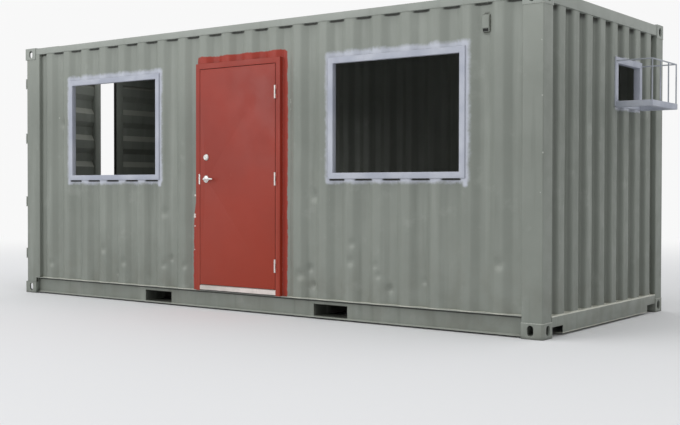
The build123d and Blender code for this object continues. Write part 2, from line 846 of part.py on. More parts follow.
# Air conditioner frame, shelf and bar cage on the plain end
cooler_frame_back = end_crest - end_depth - sheet
cooler_frame_front = cooler_frame_back + cooler_frame_depth
with BuildPart() as cooler_frame:
    with BuildSketch(Plane.YZ.offset(cooler_frame_back)):
        with Locations((cooler_middle, cooler_sill + cooler_height / 2)):
            Rectangle(cooler_width + 2 * cooler_tube, cooler_height + 2 * cooler_tube)
            Rectangle(cooler_width, cooler_height, mode=Mode.SUBTRACT)
    extrude(amount=cooler_frame_depth)
save(cooler_frame.part, "cooler_frame")

with BuildPart() as cooler_shelf:
    with BuildSketch(Plane.XY.offset(shelf_top - cooler_tube)):
        with Locations((cooler_frame_front, cooler_middle)):
            Rectangle(shelf_depth, 2 * cooler_half, align=(Align.MIN, Align.CENTER))
            Rectangle(
                shelf_depth - cooler_tube, cooler_width, align=(Align.MIN, Align.CENTER), mode=Mode.SUBTRACT
            )
    extrude(amount=cooler_tube)
save(cooler_shelf.part, "cooler_shelf")

cage_side = cooler_half - cage_inset
cage_front = cooler_frame_front + shelf_depth - cage_inset
with BuildPart() as cooler_cage:
    with BuildSketch(Plane.XY.offset(cage_top - cage_bar)):
        with Locations((cooler_frame_front, cooler_middle)):
            Rectangle(cage_front - cooler_frame_front, 2 * cage_side, align=(Align.MIN, Align.CENTER))
            Rectangle(
                cage_front - cooler_frame_front - cage_bar,
                2 * (cage_side - cage_bar),
                align=(Align.MIN, Align.CENTER),
                mode=Mode.SUBTRACT,
            )
    extrude(amount=cage_bar)
    with BuildSketch(Plane.XY.offset(shelf_top)):
        with Locations((cage_front - cage_bar / 2, cooler_middle)):
            with GridLocations(0, 2 * (cage_side - cage_bar / 2) / cage_bays, 1, cage_bays + 1):
                Rectangle(cage_bar, cage_bar)
    extrude(amount=cage_top - shelf_top)
save(cooler_cage.part, "cooler_cage")

# Air vents: small hoods in a valley of each long wall, open below
with BuildPart() as vents:
    for side, vent_end in ((-1, vent_right_edge), (1, vent_right_edge - vent_pitches_apart * wall_pitch)):
        vent_outline = side_wall_outline(vent_end - vent_width, vent_end, side)
        vent_front = side_face + vent_proud
        with BuildSketch(Plane.XY.offset(vent_bottom)):
            with BuildLine():
                Polyline(
                    *vent_outline[: len(vent_outline) // 2],
                    (vent_end, side * vent_front),
                    (vent_end - vent_width, side * vent_front),
                    close=True,
                )
            make_face()
        extrude(amount=vent_height)
        with BuildSketch(Plane.XZ.offset(-side * vent_front)):
            with Locations((vent_end - vent_width / 2, vent_bottom + vent_wall)):
                Rectangle(vent_width - 2 * vent_wall, vent_mouth_height, align=(Align.CENTER, Align.MIN))
        extrude(amount=side * vent_mouth_depth, mode=Mode.SUBTRACT)
save(vents.part, "vents")

# Places of the cargo doors' pins and hinges, and of the front leaf when it stands shut
cargo_pin_x = -half_length + cargo_pin_inset
cargo_pin_y = side_face - cargo_pin_from_side
leaf_side = -door_opening_half + cargo_post_gap
leaf_free = -cargo_meeting_gap
leaf_face = cargo_pin_x + cargo_face_from_pin
cargo_bottom = floor_top + cargo_sill_gap
cargo_top = door_header_bottom - cargo_head_gap
blade_heights = [cargo_bottom + rise for rise in blades_from_sill]
blade_heights += [cargo_top - drop for drop in blades_from_head]

# Cargo door hinges on the posts: pairs of lugs and their pins, eight-sided like the knuckles on the leaves
with BuildPart() as cargo_hinge_lugs:
    for blade_middle in blade_heights:
        lug_offset = blade_height / 2 + lug_gap
        for lug_bottom in (blade_middle + lug_offset, blade_middle - lug_offset - lug_thickness):
            with BuildSketch(Plane.XY.offset(lug_bottom)):
                with BuildLine():
                    Polyline(
                        (cargo_pin_x, -cargo_pin_y + cargo_knuckle_radius),
                        (-door_post_step, -door_opening_half),
                        (-door_post_step, -side_face + door_post_nose_width),
                        (-door_post_nose, -side_face + door_post_nose_width),
                        (-door_post_nose, -cargo_pin_y - cargo_knuckle_radius),
                        (cargo_pin_x, -cargo_pin_y - cargo_knuckle_radius),
                        (cargo_pin_x - cargo_knuckle_radius, -cargo_pin_y - cargo_knuckle_radius / 2),
                        (cargo_pin_x - cargo_knuckle_radius, -cargo_pin_y + cargo_knuckle_radius / 2),
                        close=True,
                    )
                make_face()
            extrude(amount=lug_thickness)
        with BuildSketch(Plane.XY.offset(blade_middle - lug_offset)):
            with Locations((cargo_pin_x, -cargo_pin_y)):
                RegularPolygon(cargo_pin_radius, hinge_sides)
        extrude(amount=2 * lug_offset)
    mirror(about=Plane.XZ)
save(cargo_hinge_lugs.part, "cargo_hinge_lugs")

# Keepers for the cams of the lock rods, on the door end header and sill
rod_places = (leaf_side + rod_from_stile, leaf_free - rod_from_free_edge)
rod_bottom = cargo_bottom - rod_end_below
rod_top = cargo_top + rod_end_above
rod_x = leaf_face - rod_from_face
cam_places = (rod_bottom + cam_height / 2, rod_top - cam_height / 2)
with BuildPart() as cargo_keepers:
    for cam_middle in cam_places:
        with BuildSketch(Plane.XY.offset(cam_middle - keeper_height / 2)):
            for rod_y in rod_places:
                with Locations((-cargo_sill_face, rod_y)):
                    with GridLocations(0, cam_width + 2 * keeper_gap + keeper_plate, 1, 2):
                        Rectangle(keeper_projection, keeper_plate, align=(Align.MAX, Align.CENTER))
        extrude(amount=keeper_height)
    mirror(about=Plane.XZ)
save(cargo_keepers.part, "cargo_keepers")


def hang(part, name):
    """Write a sub-part of the shut front leaf for both leaves, each turned ajar."""
    pin = Axis((cargo_pin_x, -cargo_pin_y, 0), (0, 0, 1))
    save(part.rotate(pin, cargo_front_ajar), f"cargo_door_front_{name}")
    save(mirror(part.rotate(pin, cargo_back_ajar), about=Plane.XZ), f"cargo_door_back_{name}")


# Cargo door leaf, drawn as the front one standing shut: a welded frame round a corrugated panel
leaf_wide = leaf_free - leaf_side
leaf_tall = cargo_top - cargo_bottom
leaf_centre = ((leaf_side + leaf_free) / 2, (cargo_bottom + cargo_top) / 2)
with BuildPart() as cargo_frame:
    with BuildSketch(Plane.YZ.offset(leaf_face)):
        with Locations(leaf_centre):
            Rectangle(leaf_wide, leaf_tall)
            Rectangle(
                leaf_wide - 2 * cargo_stile_width, leaf_tall - 2 * cargo_rail_height, mode=Mode.SUBTRACT
            )
    extrude(amount=cargo_leaf_thickness)
hang(cargo_frame.part, "frame")

with BuildPart() as cargo_gasket_ring:
    with BuildSketch(Plane.YZ.offset(leaf_face + cargo_leaf_thickness)):
        with Locations(leaf_centre):
            Rectangle(leaf_wide + 2 * cargo_gasket, leaf_tall + 2 * cargo_gasket)
            Rectangle(leaf_wide, leaf_tall, mode=Mode.SUBTRACT)
    extrude(amount=-cargo_gasket_depth)
hang(cargo_gasket_ring.part, "gasket")

panel_middle = (cargo_bottom + cargo_top) / 2
panel_line = corrugation(
    cargo_bottom + cargo_rail_height,
    cargo_top - cargo_rail_height,
    panel_middle,
    cargo_panel_pitch,
    cargo_panel_flat,
    cargo_panel_pitch - cargo_panel_flat - 2 * cargo_panel_slope,
    cargo_panel_depth,
)
with BuildPart() as cargo_panel:
    with BuildSketch(Plane.XZ.offset(-leaf_side - cargo_stile_width)):
        with BuildLine():
            Polyline(
                *[(leaf_face + depth, z) for z, depth in panel_line],
                *[(leaf_face + depth + sheet, z) for z, depth in panel_line[::-1]],
                close=True,
            )
        make_face()
    extrude(amount=-(leaf_wide - 2 * cargo_stile_width))
hang(cargo_panel.part, "panel")

# Hinge blades, each with a bored knuckle round the pin
with BuildPart() as cargo_blades:
    for blade_middle in blade_heights:
        with BuildSketch(Plane.XY.offset(blade_middle - blade_height / 2)):
            with BuildLine():
                Polyline(
                    (cargo_pin_x, -cargo_pin_y),
                    (cargo_pin_x, -cargo_pin_y + cargo_knuckle_radius),
                    (leaf_face - blade_thickness, leaf_side + cargo_gasket),
                    (leaf_face - blade_thickness, leaf_side + blade_reach),
                    (leaf_face, leaf_side + blade_reach),
                    (leaf_face, leaf_side),
                    (cargo_pin_x + cargo_knuckle_radius, -cargo_pin_y),
                    close=True,
                )
            make_face()
            with Locations((cargo_pin_x, -cargo_pin_y)):
                RegularPolygon(cargo_knuckle_radius, hinge_sides)
                RegularPolygon(cargo_pin_radius + cargo_pin_clearance, hinge_sides, mode=Mode.SUBTRACT)
        extrude(amount=blade_height)
hang(cargo_blades.part, "hinges")

# Lock gear: two rods with cams, brackets and handles, and a catch that holds each handle
bracket_places = (cargo_bottom + cargo_rail_height / 2, cargo_top - cargo_rail_height / 2)
handle_crest = panel_middle - cargo_panel_pitch / 2
handles = (
    (rod_places[0], 1, handle_crest + handle_spread),
    (rod_places[1], -1, handle_crest - handle_spread),
)
with BuildPart() as cargo_lock_gear:
    for rod_y, reach, handle_middle in handles:
        with BuildSketch(Plane.XY.offset(rod_bottom)):
            with Locations((rod_x, rod_y)):
                RegularPolygon(rod_radius, rod_sides)
        extrude(amount=rod_top - rod_bottom)
        for cam_middle in cam_places:
            with BuildSketch(Plane.XY.offset(cam_middle - cam_height / 2)):
                with Locations((rod_x, rod_y)):
                    Rectangle(2 * (rod_from_face - cam_face_gap), cam_width)
            extrude(amount=cam_height)
        for bracket_middle in bracket_places:
            with BuildSketch(Plane.XY.offset(bracket_middle - bracket_height / 2)):
                with Locations((leaf_face, rod_y)):
                    Rectangle(bracket_plate, bracket_width, align=(Align.MAX, Align.CENTER))
                    Rectangle(rod_from_face, bracket_saddle, align=(Align.MAX, Align.CENTER))
            extrude(amount=bracket_height)
        with BuildSketch(Plane.XY.offset(handle_middle - handle_hub_height / 2)):
            with Locations((rod_x, rod_y)):
                Rectangle(2 * handle_hub, 2 * handle_hub)
        extrude(amount=handle_hub_height)
        with BuildSketch(Plane.XY.offset(handle_middle - handle_tall / 2)):
            with Locations((rod_x, rod_y + reach * handle_length / 2)):
                Rectangle(handle_thick, handle_length)
        extrude(amount=handle_tall)
        catch_bottom = handle_middle - handle_tall / 2 - catch_gap - catch_plate
        catch_front = rod_x - handle_thick / 2 - catch_gap - catch_plate
        catch_height = handle_tall + 2 * (catch_gap + catch_plate)
        with BuildSketch(Plane.XZ.offset(-rod_y - reach * catch_from_rod)):
            with BuildLine():
                Polyline(
                    (leaf_face, catch_bottom),
                    (leaf_face, catch_bottom + catch_height),
                    (leaf_face - catch_plate, catch_bottom + catch_height),
                    (leaf_face - catch_plate, catch_bottom + catch_plate),
                    (catch_front + catch_plate, catch_bottom + catch_plate),
                    (catch_front + catch_plate, catch_bottom + catch_height),
                    (catch_front, catch_bottom + catch_height),
                    (catch_front, catch_bottom),
                    close=True,
                )
            make_face()
        extrude(amount=catch_width / 2, both=True)
hang(cargo_lock_gear.part, "lock_rods")
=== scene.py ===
import math

import bmesh
import bpy
from mathutils import Matrix, Vector, noise


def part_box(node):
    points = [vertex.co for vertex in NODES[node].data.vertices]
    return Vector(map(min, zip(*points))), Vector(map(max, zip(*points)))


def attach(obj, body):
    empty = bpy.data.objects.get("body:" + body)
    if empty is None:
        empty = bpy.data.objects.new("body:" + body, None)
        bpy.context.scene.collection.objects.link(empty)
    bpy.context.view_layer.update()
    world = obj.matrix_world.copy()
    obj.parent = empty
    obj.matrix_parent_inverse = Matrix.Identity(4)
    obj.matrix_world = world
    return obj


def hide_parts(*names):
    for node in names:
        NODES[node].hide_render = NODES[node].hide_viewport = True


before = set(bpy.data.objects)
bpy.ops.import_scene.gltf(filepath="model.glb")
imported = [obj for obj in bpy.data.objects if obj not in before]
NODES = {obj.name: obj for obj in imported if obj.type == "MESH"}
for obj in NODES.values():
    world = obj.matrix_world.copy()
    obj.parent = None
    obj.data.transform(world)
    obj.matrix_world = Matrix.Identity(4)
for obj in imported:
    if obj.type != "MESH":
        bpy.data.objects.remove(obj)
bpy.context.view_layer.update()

# Paint colours as they look in even light, sRGB 0 to 255, with some painted highlights and painted shade as
# marked
SAGE = (130, 135, 128)
SAGE_PALE = (152, 157, 150)
SAGE_DARK = (100, 105, 98)
# Sage lightened as a painted highlight, for the rails, header and castings along the top
UPPER_HIGHLIGHT_SAGE = (156, 161, 156)
# Pale sage for painted highlights on lips and on the lower sides of dents, and for scrapes and weld beads
PALE_HIGHLIGHT_AND_SCRAPE = (176, 180, 172)
# Bright painted highlight along lips and ledges that face up
BRIGHT_LIP_HIGHLIGHT = (204, 205, 193)
# Sage darkened as painted shade, for the end wall that faces away from the lamps
END_WALL_SHADED_SAGE = (123, 128, 121)
# Sage darkened as painted shade, for the fork pockets
SHADED_UNDERSIDE = (62, 65, 60)
SHADOW = (30, 31, 30)
BRICK = (149, 48, 33)
BRICK_WARM = (147, 48, 22)
BRICK_DARK = (112, 40, 32)
PRIMER = (180, 184, 194)
PRIMER_SHADE = (160, 165, 178)
CHIPPED = (226, 222, 216)
# Dark brown for real dirt, smudges and stains, and for painted shade in corners
DIRT_AND_SHADE = (92, 88, 76)
RUST = (112, 66, 42)
BARE_STEEL = (226, 222, 218)
CHROME = (222, 222, 220)
# Near black painted shade, for the deep slot of the keyway
KEYWAY_SHADE = (24, 22, 20)
THRESHOLD = (238, 226, 221)
PLYWOOD = (120, 92, 66)
RUBBER = (30, 30, 30)
# Painted shade for the valleys of a corrugated sheet
VALLEY_SHADE = (84, 87, 81)
SCUFFED_BRICK = (190, 120, 105)
FLOOR = (228, 229, 231)

# The specular level of every material
SPECULAR = 0.35

# The camera of the photograph, in metres, degrees and pixels of its 680 x 425 frame
CAMERA_PLACE = (6.499, -8.329, 1.109)
CAMERA_YAW = 36.79
CAMERA_PITCH = -0.97
CAMERA_ROLL = 0.10
FOCAL_PIXELS = 1065.6
OPTICAL_CENTRE = (340.5, 206.9)
FRAME_PIXELS = (680, 425)
SENSOR_MM = 36

# The studio: its even light, its white backdrop, and lamps as (name, place, target, size, watts)
WORLD_LIGHT = 0.86
BACKDROP = 0.94
LAMPS = (
    ("sky_panel", (-1.0, -5.0, 10.0), (0, 0, 1.2), 9.0, 160),
    ("front_panel", (-12.0, -23.0, 10.0), (0, 0, 1.2), 14.0, 1500),
    ("inside_panel", (-2.2, -0.4, 2.42), (-3.0, -0.8, 1.3), 0.3, 3),
)

# Wall skins, in metres
SHEET = 0.002
BEND_REACH = 0.014  # from a corner to the start of its curve
BEND_FACES = 4
SKIN_STEP = 0.021  # the longest face
PLAIN_STEP = 0.034  # the same, up a wall without dents
WAVE_DEPTH = 0.005
HELD_EDGE = 0.08  # the rim that waves and dents leave flat
WELD = 0.0035  # a bead's radius
WALL_ENDS = (2.7, 1.0)  # on X and Y, beyond which a sheet's side is welded to a post
ROOF_PITCH = 0.209  # from one rib of the roof to the next

# Rounded edges: faces in a rounding, and the least angle of a hard edge in degrees
ROUNDING_FACES = 3
HARD_EDGE = 30

# Dents of the front wall as (along X, height, radius, depth) in metres
FRONT_DENTS = (
    (-2.434, 1.779, 0.045, 0.017), (-2.604, 0.331, 0.038, 0.008), (-1.79, 0.506, 0.045, 0.010),
    (-1.61, 0.275, 0.030, 0.011), (-1.494, 0.389, 0.041, 0.008), (-0.933, 0.384, 0.034, 0.013),
    (-0.852, 0.445, 0.030, 0.010), (-0.652, 0.388, 0.034, 0.011), (-0.922, 0.88, 0.045, 0.011),
    (0.743, 0.374, 0.045, 0.017), (0.83, 0.429, 0.034, 0.014), (0.863, 0.285, 0.030, 0.020),
    (0.871, 1.052, 0.053, 0.014), (1.293, 0.657, 0.034, 0.011), (1.273, 0.507, 0.038, 0.013),
    (1.526, 0.485, 0.030, 0.008), (1.556, 0.406, 0.030, 0.010), (1.654, 0.298, 0.034, 0.017),
    (1.987, 0.38, 0.030, 0.008), (2.659, 0.544, 0.045, 0.013),
)

# Scraped spots as (x, y, z, radius) in metres
DOOR_CHIPS = (
    (-0.541, -1.179, 1.046, 0.009), (-0.546, -1.179, 0.866, 0.011), (-0.546, -1.179, 0.848, 0.012),
    (-0.546, -1.179, 0.760, 0.008), (-0.550, -1.179, 0.541, 0.006),
)
WALL_SCRAPES = (
    (0.612, -1.181, 1.880, 0.006), (0.614, -1.181, 1.860, 0.007), (0.618, -1.182, 1.800, 0.005),
    (-2.509, -1.188, 1.842, 0.012), (-2.490, -1.188, 1.812, 0.008), (-2.462, -1.188, 1.792, 0.012),
    (-2.478, -1.188, 1.765, 0.010),
)
POST_SCRAPES = (
    (3.009, -1.213, 2.200, 0.005), (3.015, -1.213, 1.796, 0.004), (3.021, -1.213, 1.377, 0.006),
    (3.003, -1.213, 1.085, 0.004),
)

# Turned lock parts as (radius, distance from the leaf's face) in metres
DEADBOLT = (
    (0.030, 0), (0.030, 0.004), (0.024, 0.012), (0.0225, 0.0135), (0.015, 0.0137), (0.0145, 0.0125),
)
TURN_ROSE = ((0.028, 0), (0.028, 0.004), (0.026, 0.006))


def linear(colour):
    """A colour written in sRGB 0 to 255 as linear RGBA."""
    def channel(value):
        value /= 255
        return value / 12.92 if value <= 0.04045 else ((value + 0.055) / 1.055) ** 2.4

    return (*[channel(value) for value in colour], 1.0)


def blended(first, second, share):
    """A colour that is a share of the way from one to another."""
    return tuple(a + (b - a) * share for a, b in zip(first, second))


class Paint:
    """A Principled material with short calls for the nodes that feed it."""

    def __init__(self, name, roughness=0.5, metallic=0.0):
        self.material = bpy.data.materials.new(name)
        self.material.use_nodes = True
        self.tree = self.material.node_tree
        self.shader = self.tree.nodes["Principled BSDF"]
        self.shader.inputs["Roughness"].default_value = roughness
        self.shader.inputs["Metallic"].default_value = metallic
        self.shader.inputs["Specular IOR Level"].default_value = SPECULAR
        self.place = self.node("ShaderNodeTexCoord").outputs["Object"]
        split = self.node("ShaderNodeSeparateXYZ")
        self.join(self.place, split.inputs[0])
        self.x, self.y, self.z = split.outputs
        self.axes = {"x": self.x, "y": self.y}

    def node(self, kind, **settings):
        made = self.tree.nodes.new(kind)
        for key, value in settings.items():
            setattr(made, key, value)
        return made

    def join(self, source, target):
        if isinstance(source, bpy.types.NodeSocket):
            self.tree.links.new(source, target)
        else:
            target.default_value = source

    def math(self, operation, *values):
        made = self.node("ShaderNodeMath", operation=operation)
        for value, socket in zip(values, made.inputs):
            self.join(value, socket)
        return made.outputs[0]

    def product(self, first, second):
        """Two values multiplied, each a socket or a number."""
        return self.math("MULTIPLY", first, second)

    def noise(self, scale, stretch=(1, 1, 1), detail=4.0, roughness=0.55, shift=0.0):
        """Noise from 0 to 1, with scale in blobs per metre and the axes stretched."""
        mapping = self.node("ShaderNodeMapping")
        mapping.inputs["Scale"].default_value = stretch
        mapping.inputs["Location"].default_value = (shift, shift, shift)
        self.join(self.place, mapping.inputs[0])
        made = self.node("ShaderNodeTexNoise")
        self.join(mapping.outputs[0], made.inputs["Vector"])
        made.inputs["Scale"].default_value = scale
        made.inputs["Detail"].default_value = detail
        made.inputs["Roughness"].default_value = roughness
        return made.outputs["Fac"]

    def step(self, value, low, high, to_low=0.0, to_high=1.0):
        """A smooth step of a value between two limits."""
        made = self.node("ShaderNodeMapRange", interpolation_type="SMOOTHSTEP")
        for source, socket in zip((value, low, high, to_low, to_high), made.inputs):
            self.join(source, socket)
        return made.outputs[0]

    def mix(self, factor, first, second):
        """Two colours mixed, each a socket or written in sRGB 0 to 255."""
        made = self.node("ShaderNodeMix", data_type="RGBA")
        colours = [socket for socket in made.inputs if socket.type == "RGBA"]
        self.join(factor, made.inputs[0])
        for source, socket in zip((first, second), colours):
            self.join(source if isinstance(source, bpy.types.NodeSocket) else linear(source), socket)
        return [socket for socket in made.outputs if socket.type == "RGBA"][0]

    def cover(self, colour, tint, mask, share):
        """A colour with a share of a tint laid over it where a mask is 1."""
        return self.mix(self.product(mask, share), colour, tint)

    def band(self, value, low, high, soft=0.003):
        """1 between two limits and 0 outside them, with soft ends."""
        rising = self.step(value, low - soft, low + soft)
        return self.product(rising, self.step(value, high + soft, high - soft))

    def spots(self, places, shaken, shake=0.012, soft=0.003):
        """1 inside ragged spots, each (x, y, z, radius) in metres."""
        mask = 0.0
        for *middle, radius in places:
            away = self.node("ShaderNodeVectorMath", operation="DISTANCE")
            self.join(self.place, away.inputs[0])
            away.inputs[1].default_value = middle
            moved = self.math("ADD", away.outputs["Value"], self.product(shaken, shake))
            rim = radius + shake / 2
            mask = self.math("MAXIMUM", mask, self.step(moved, rim + soft, rim - soft))
        return mask

    def edge_wear(self, radius):
        """About 1 along sharp edges and 0 on open faces."""
        bevel = self.node("ShaderNodeBevel", samples=4)
        bevel.inputs["Radius"].default_value = radius
        plain = self.node("ShaderNodeNewGeometry").outputs["Normal"]
        dot = self.node("ShaderNodeVectorMath", operation="DOT_PRODUCT")
        self.join(bevel.outputs[0], dot.inputs[0])
        self.join(plain, dot.inputs[1])
        return self.step(dot.outputs["Value"], 0.995, 0.90)

    def crevice(self, distance):
        """About 1 in corners and 0 on open faces."""
        shade = self.node("ShaderNodeAmbientOcclusion", samples=4)
        shade.inputs["Distance"].default_value = distance
        return self.step(shade.outputs["AO"], 0.75, 0.25)

    def finish(self, colour, roughness=None, heights=(), rounding=0.0):
        """Joins the colour, the roughness and the bump heights, each (height, depth in metres)."""
        self.join(colour, self.shader.inputs["Base Color"])
        if roughness is not None:
            self.join(roughness, self.shader.inputs["Roughness"])
        normal = None
        if rounding:
            bevel = self.node("ShaderNodeBevel", samples=4)
            bevel.inputs["Radius"].default_value = rounding
            normal = bevel.outputs[0]
        for height, depth in heights:
            bump = self.node("ShaderNodeBump")
            bump.inputs["Strength"].default_value = 1.0
            bump.inputs["Distance"].default_value = depth
            self.join(height, bump.inputs["Height"])
            if normal is not None:
                self.join(normal, bump.inputs["Normal"])
            normal = bump.outputs[0]
        if normal is not None:
            self.join(normal, self.shader.inputs["Normal"])
        return self.material


class Spray:
    """Overspray round a frame in a wall, as a rectangle on one axis and Z with a soft ragged rim.

    reach is its width beyond the rectangle, lean adds to that at the lower left, and gap is the pair of
    depths between which the wall's valleys are painted black below the frame, as painted shadow over the
    gap there."""

    def __init__(self, axis, low, high, reach, soft, wobble, colour, lean=0.0, gap=None):
        self.axis, self.low, self.high = axis, low, high
        self.reach, self.soft, self.wobble, self.colour = reach, soft, wobble, colour
        self.lean, self.gap = lean, gap

    def distance(self, paint):
        """Distance outside the rectangle, in metres, and 0 inside."""
        across = paint.axes[self.axis]
        if self.lean:
            near = paint.step(across, (self.low[0] + self.high[0]) / 2, self.low[0])
            leaned = paint.product(near, paint.step(paint.z, 1.25, 0.75, 0.0, self.lean))
            across = paint.math("ADD", across, leaned)
        sides = []
        for value, low, high in zip((across, paint.z), self.low, self.high):
            offset = paint.math("ABSOLUTE", paint.math("SUBTRACT", value, (low + high) / 2))
            beyond = paint.math("MAXIMUM", paint.math("SUBTRACT", offset, (high - low) / 2), 0.0)
            sides.append(paint.product(beyond, beyond))
        return paint.math("SQRT", paint.math("ADD", *sides))

    def apply(self, paint, colour, ragged, fine):
        """Lays the overspray on a wall's colour, shaken by two noises and its own drips."""
        shaken = self.distance(paint)
        drips = paint.noise(9.0, stretch=(1, 1, 0.25), shift=23.0)
        for source, share in ((ragged, 1.0), (fine, 0.5), (drips, 0.7)):
            push = paint.product(paint.math("SUBTRACT", source, 0.5), self.wobble * share)
            shaken = paint.math("ADD", shaken, push)
        mask = paint.step(shaken, self.reach + self.soft, self.reach - self.soft)
        if self.axis == "x":
            mask = paint.product(mask, paint.math("LESS_THAN", paint.y, 0.0))
        colour = paint.mix(mask, colour, self.colour)
        # Painted shadow: the valleys just below the frame go black, where the frame stands out over a gap
        if self.gap:
            under = paint.band(paint.z, self.low[1] - 0.012, self.low[1] + 0.008)
            under = paint.product(under, paint.band(paint.axes[self.axis], self.low[0], self.high[0]))
            depth = paint.y if self.axis == "x" else paint.x
            colour = paint.cover(colour, SHADOW, under, paint.step(depth, *self.gap))
        return colour


def weathered(paint, base):
    """Repainted steel: broad patches, rain streaks, a top lightened as a painted highlight and splashed
    dirt near the ground.
    """
    patches = paint.noise(0.9, detail=6.0)
    colour = paint.mix(paint.step(patches, 0.35, 0.70), blended(base, SAGE_DARK, 0.30), base)
    streaks = paint.noise(9.0, stretch=(1, 1, 0.06), detail=3.0, shift=3.0)
    colour = paint.cover(colour, SAGE_PALE, paint.step(streaks, 0.52, 0.78), 0.40)
    colour = paint.cover(colour, SAGE_DARK, paint.step(streaks, 0.44, 0.24), 0.40)
    blotches = paint.noise(4.5, detail=7.0, roughness=0.65, shift=13.0)
    colour = paint.cover(colour, SAGE_PALE, paint.step(blotches, 0.56, 0.72), 0.30)
    # Painted highlight: lighter towards the top, where more sky light falls
    colour = paint.cover(colour, SAGE_PALE, paint.step(paint.z, 1.7, 2.5), 0.38)
    splash = paint.noise(5.0, detail=6.0, shift=7.0)
    low = paint.step(paint.z, 0.9, 0.0)
    return paint.cover(colour, DIRT_AND_SHADE, paint.product(low, paint.step(splash, 0.35, 0.75)), 0.30)


def steel_paint(name, sprays=(), rounding=0.002, base=SAGE, valley=None, bands=(), marks=(), gap=None,
                corner_shade=(0.04, 0.45, DIRT_AND_SHADE), upward_highlight=0.0):
    """Sage paint over steel, with worn edges, rust spots, painted shade in its corners and any overspray.

    valley: (axis, crest, floor, share) for painted shade in a sheet's valleys.
    bands: (low, high, colour, share) each, for strips of height with ragged ends.
    marks: (colour, spots) each, for scrapes.
    gap: (low, high, soft, axis, crest, floor) for painted shadow where a sheet's valleys pass under a rail.
    corner_shade: (reach, share, colour) for painted shade in corners.
    upward_highlight: the share of a bright painted highlight on surfaces that face up."""
    paint = Paint(name)
    colour = weathered(paint, base)
    ragged = paint.noise(14.0, detail=5.0, shift=11.0)
    fine = paint.noise(60.0, detail=3.0, shift=5.0)
    # Painted shade in a sheet's valleys
    if valley:
        axis, crest, floor, share = valley
        colour = paint.cover(colour, VALLEY_SHADE, paint.step(paint.axes[axis], crest, floor), share)
    wobbled = paint.math("ADD", paint.z, paint.product(paint.math("SUBTRACT", ragged, 0.5), 0.006))
    for low, high, tint, share in bands:
        colour = paint.cover(colour, tint, paint.band(wobbled, low, high), share)
    dent_shading = paint.node("ShaderNodeAttribute", attribute_name="dent_shade").outputs["Fac"]
    # Painted shading of dents: lighter below each dent's middle, darker above it
    colour = paint.cover(colour, PALE_HIGHLIGHT_AND_SCRAPE, paint.step(dent_shading, 0.15, 0.9), 0.26)
    colour = paint.cover(colour, SAGE_DARK, paint.step(dent_shading, -0.10, -0.6), 0.16)
    for spray in sprays:
        colour = spray.apply(paint, colour, ragged, fine)
    for tint, spots in marks:
        colour = paint.cover(colour, tint, paint.spots(spots, fine), 0.8)
    # Painted shadow in the valleys where they pass under a rail
    if gap:
        low, high, soft, axis, crest, floor = gap
        hollow = paint.step(paint.axes[axis], crest, floor)
        hollow = paint.product(hollow, paint.band(wobbled, low, high, soft))
        colour = paint.cover(colour, SHADOW, hollow, 0.85)
    chips = paint.noise(38.0, detail=6.0, roughness=0.7, shift=19.0)
    worn = paint.product(paint.edge_wear(0.004), paint.step(chips, 0.50, 0.64))
    colour = paint.cover(colour, SAGE_PALE, worn, 0.7)
    rusty = paint.product(paint.edge_wear(0.004), paint.step(chips, 0.66, 0.72))
    colour = paint.cover(colour, RUST, rusty, 0.8)
    specks = paint.step(paint.noise(26.0, detail=8.0, roughness=0.75, shift=31.0), 0.73, 0.78)
    colour = paint.cover(colour, RUST, specks, 0.7)
    # Painted highlight on surfaces that face up
    if upward_highlight:
        facing = paint.node("ShaderNodeSeparateXYZ")
        paint.join(paint.node("ShaderNodeNewGeometry").outputs["Normal"], facing.inputs[0])
        colour = paint.cover(colour, BRIGHT_LIP_HIGHLIGHT, paint.step(facing.outputs[2], 0.15, 0.45), upward_highlight)
    # Painted shade in corners and hollows, from ambient occlusion
    reach, share, tint = corner_shade
    colour = paint.cover(colour, tint, paint.crevice(reach), share)
    skin = paint.noise(160.0, detail=2.0, shift=4.0)
    roughness = paint.step(paint.noise(6.0, shift=9.0), 0.3, 0.7, 0.42, 0.60)
    return paint.finish(colour, roughness, [(skin, 0.0003)], rounding)


def plain_paint(name, base, shade, roughness, corner_shade_share, rounding=0.0015):
    """An even coat with slight patches, brush strokes, painted shade in its corners and orange peel."""
    paint = Paint(name, roughness)
    patches = paint.noise(3.0, detail=5.0)
    colour = paint.mix(paint.step(patches, 0.35, 0.70), shade, base)
    strokes = paint.noise(30.0, stretch=(1, 1, 0.15), detail=3.0, shift=6.0)
    colour = paint.cover(colour, shade, paint.step(strokes, 0.5, 0.8), 0.3)
    # Painted shade in corners
    colour = paint.cover(colour, DIRT_AND_SHADE, paint.crevice(0.03), corner_shade_share)
    skin = paint.noise(180.0, detail=2.0)
    rough = paint.step(paint.noise(8.0, shift=4.0), 0.3, 0.7, roughness - 0.06, roughness + 0.08)
    return paint.finish(colour, rough, [(skin, 0.0003)], rounding)


def even_paint(name, colour, roughness):
    """One colour all over, for what lies in shadow."""
    return Paint(name, roughness).finish(linear(colour))


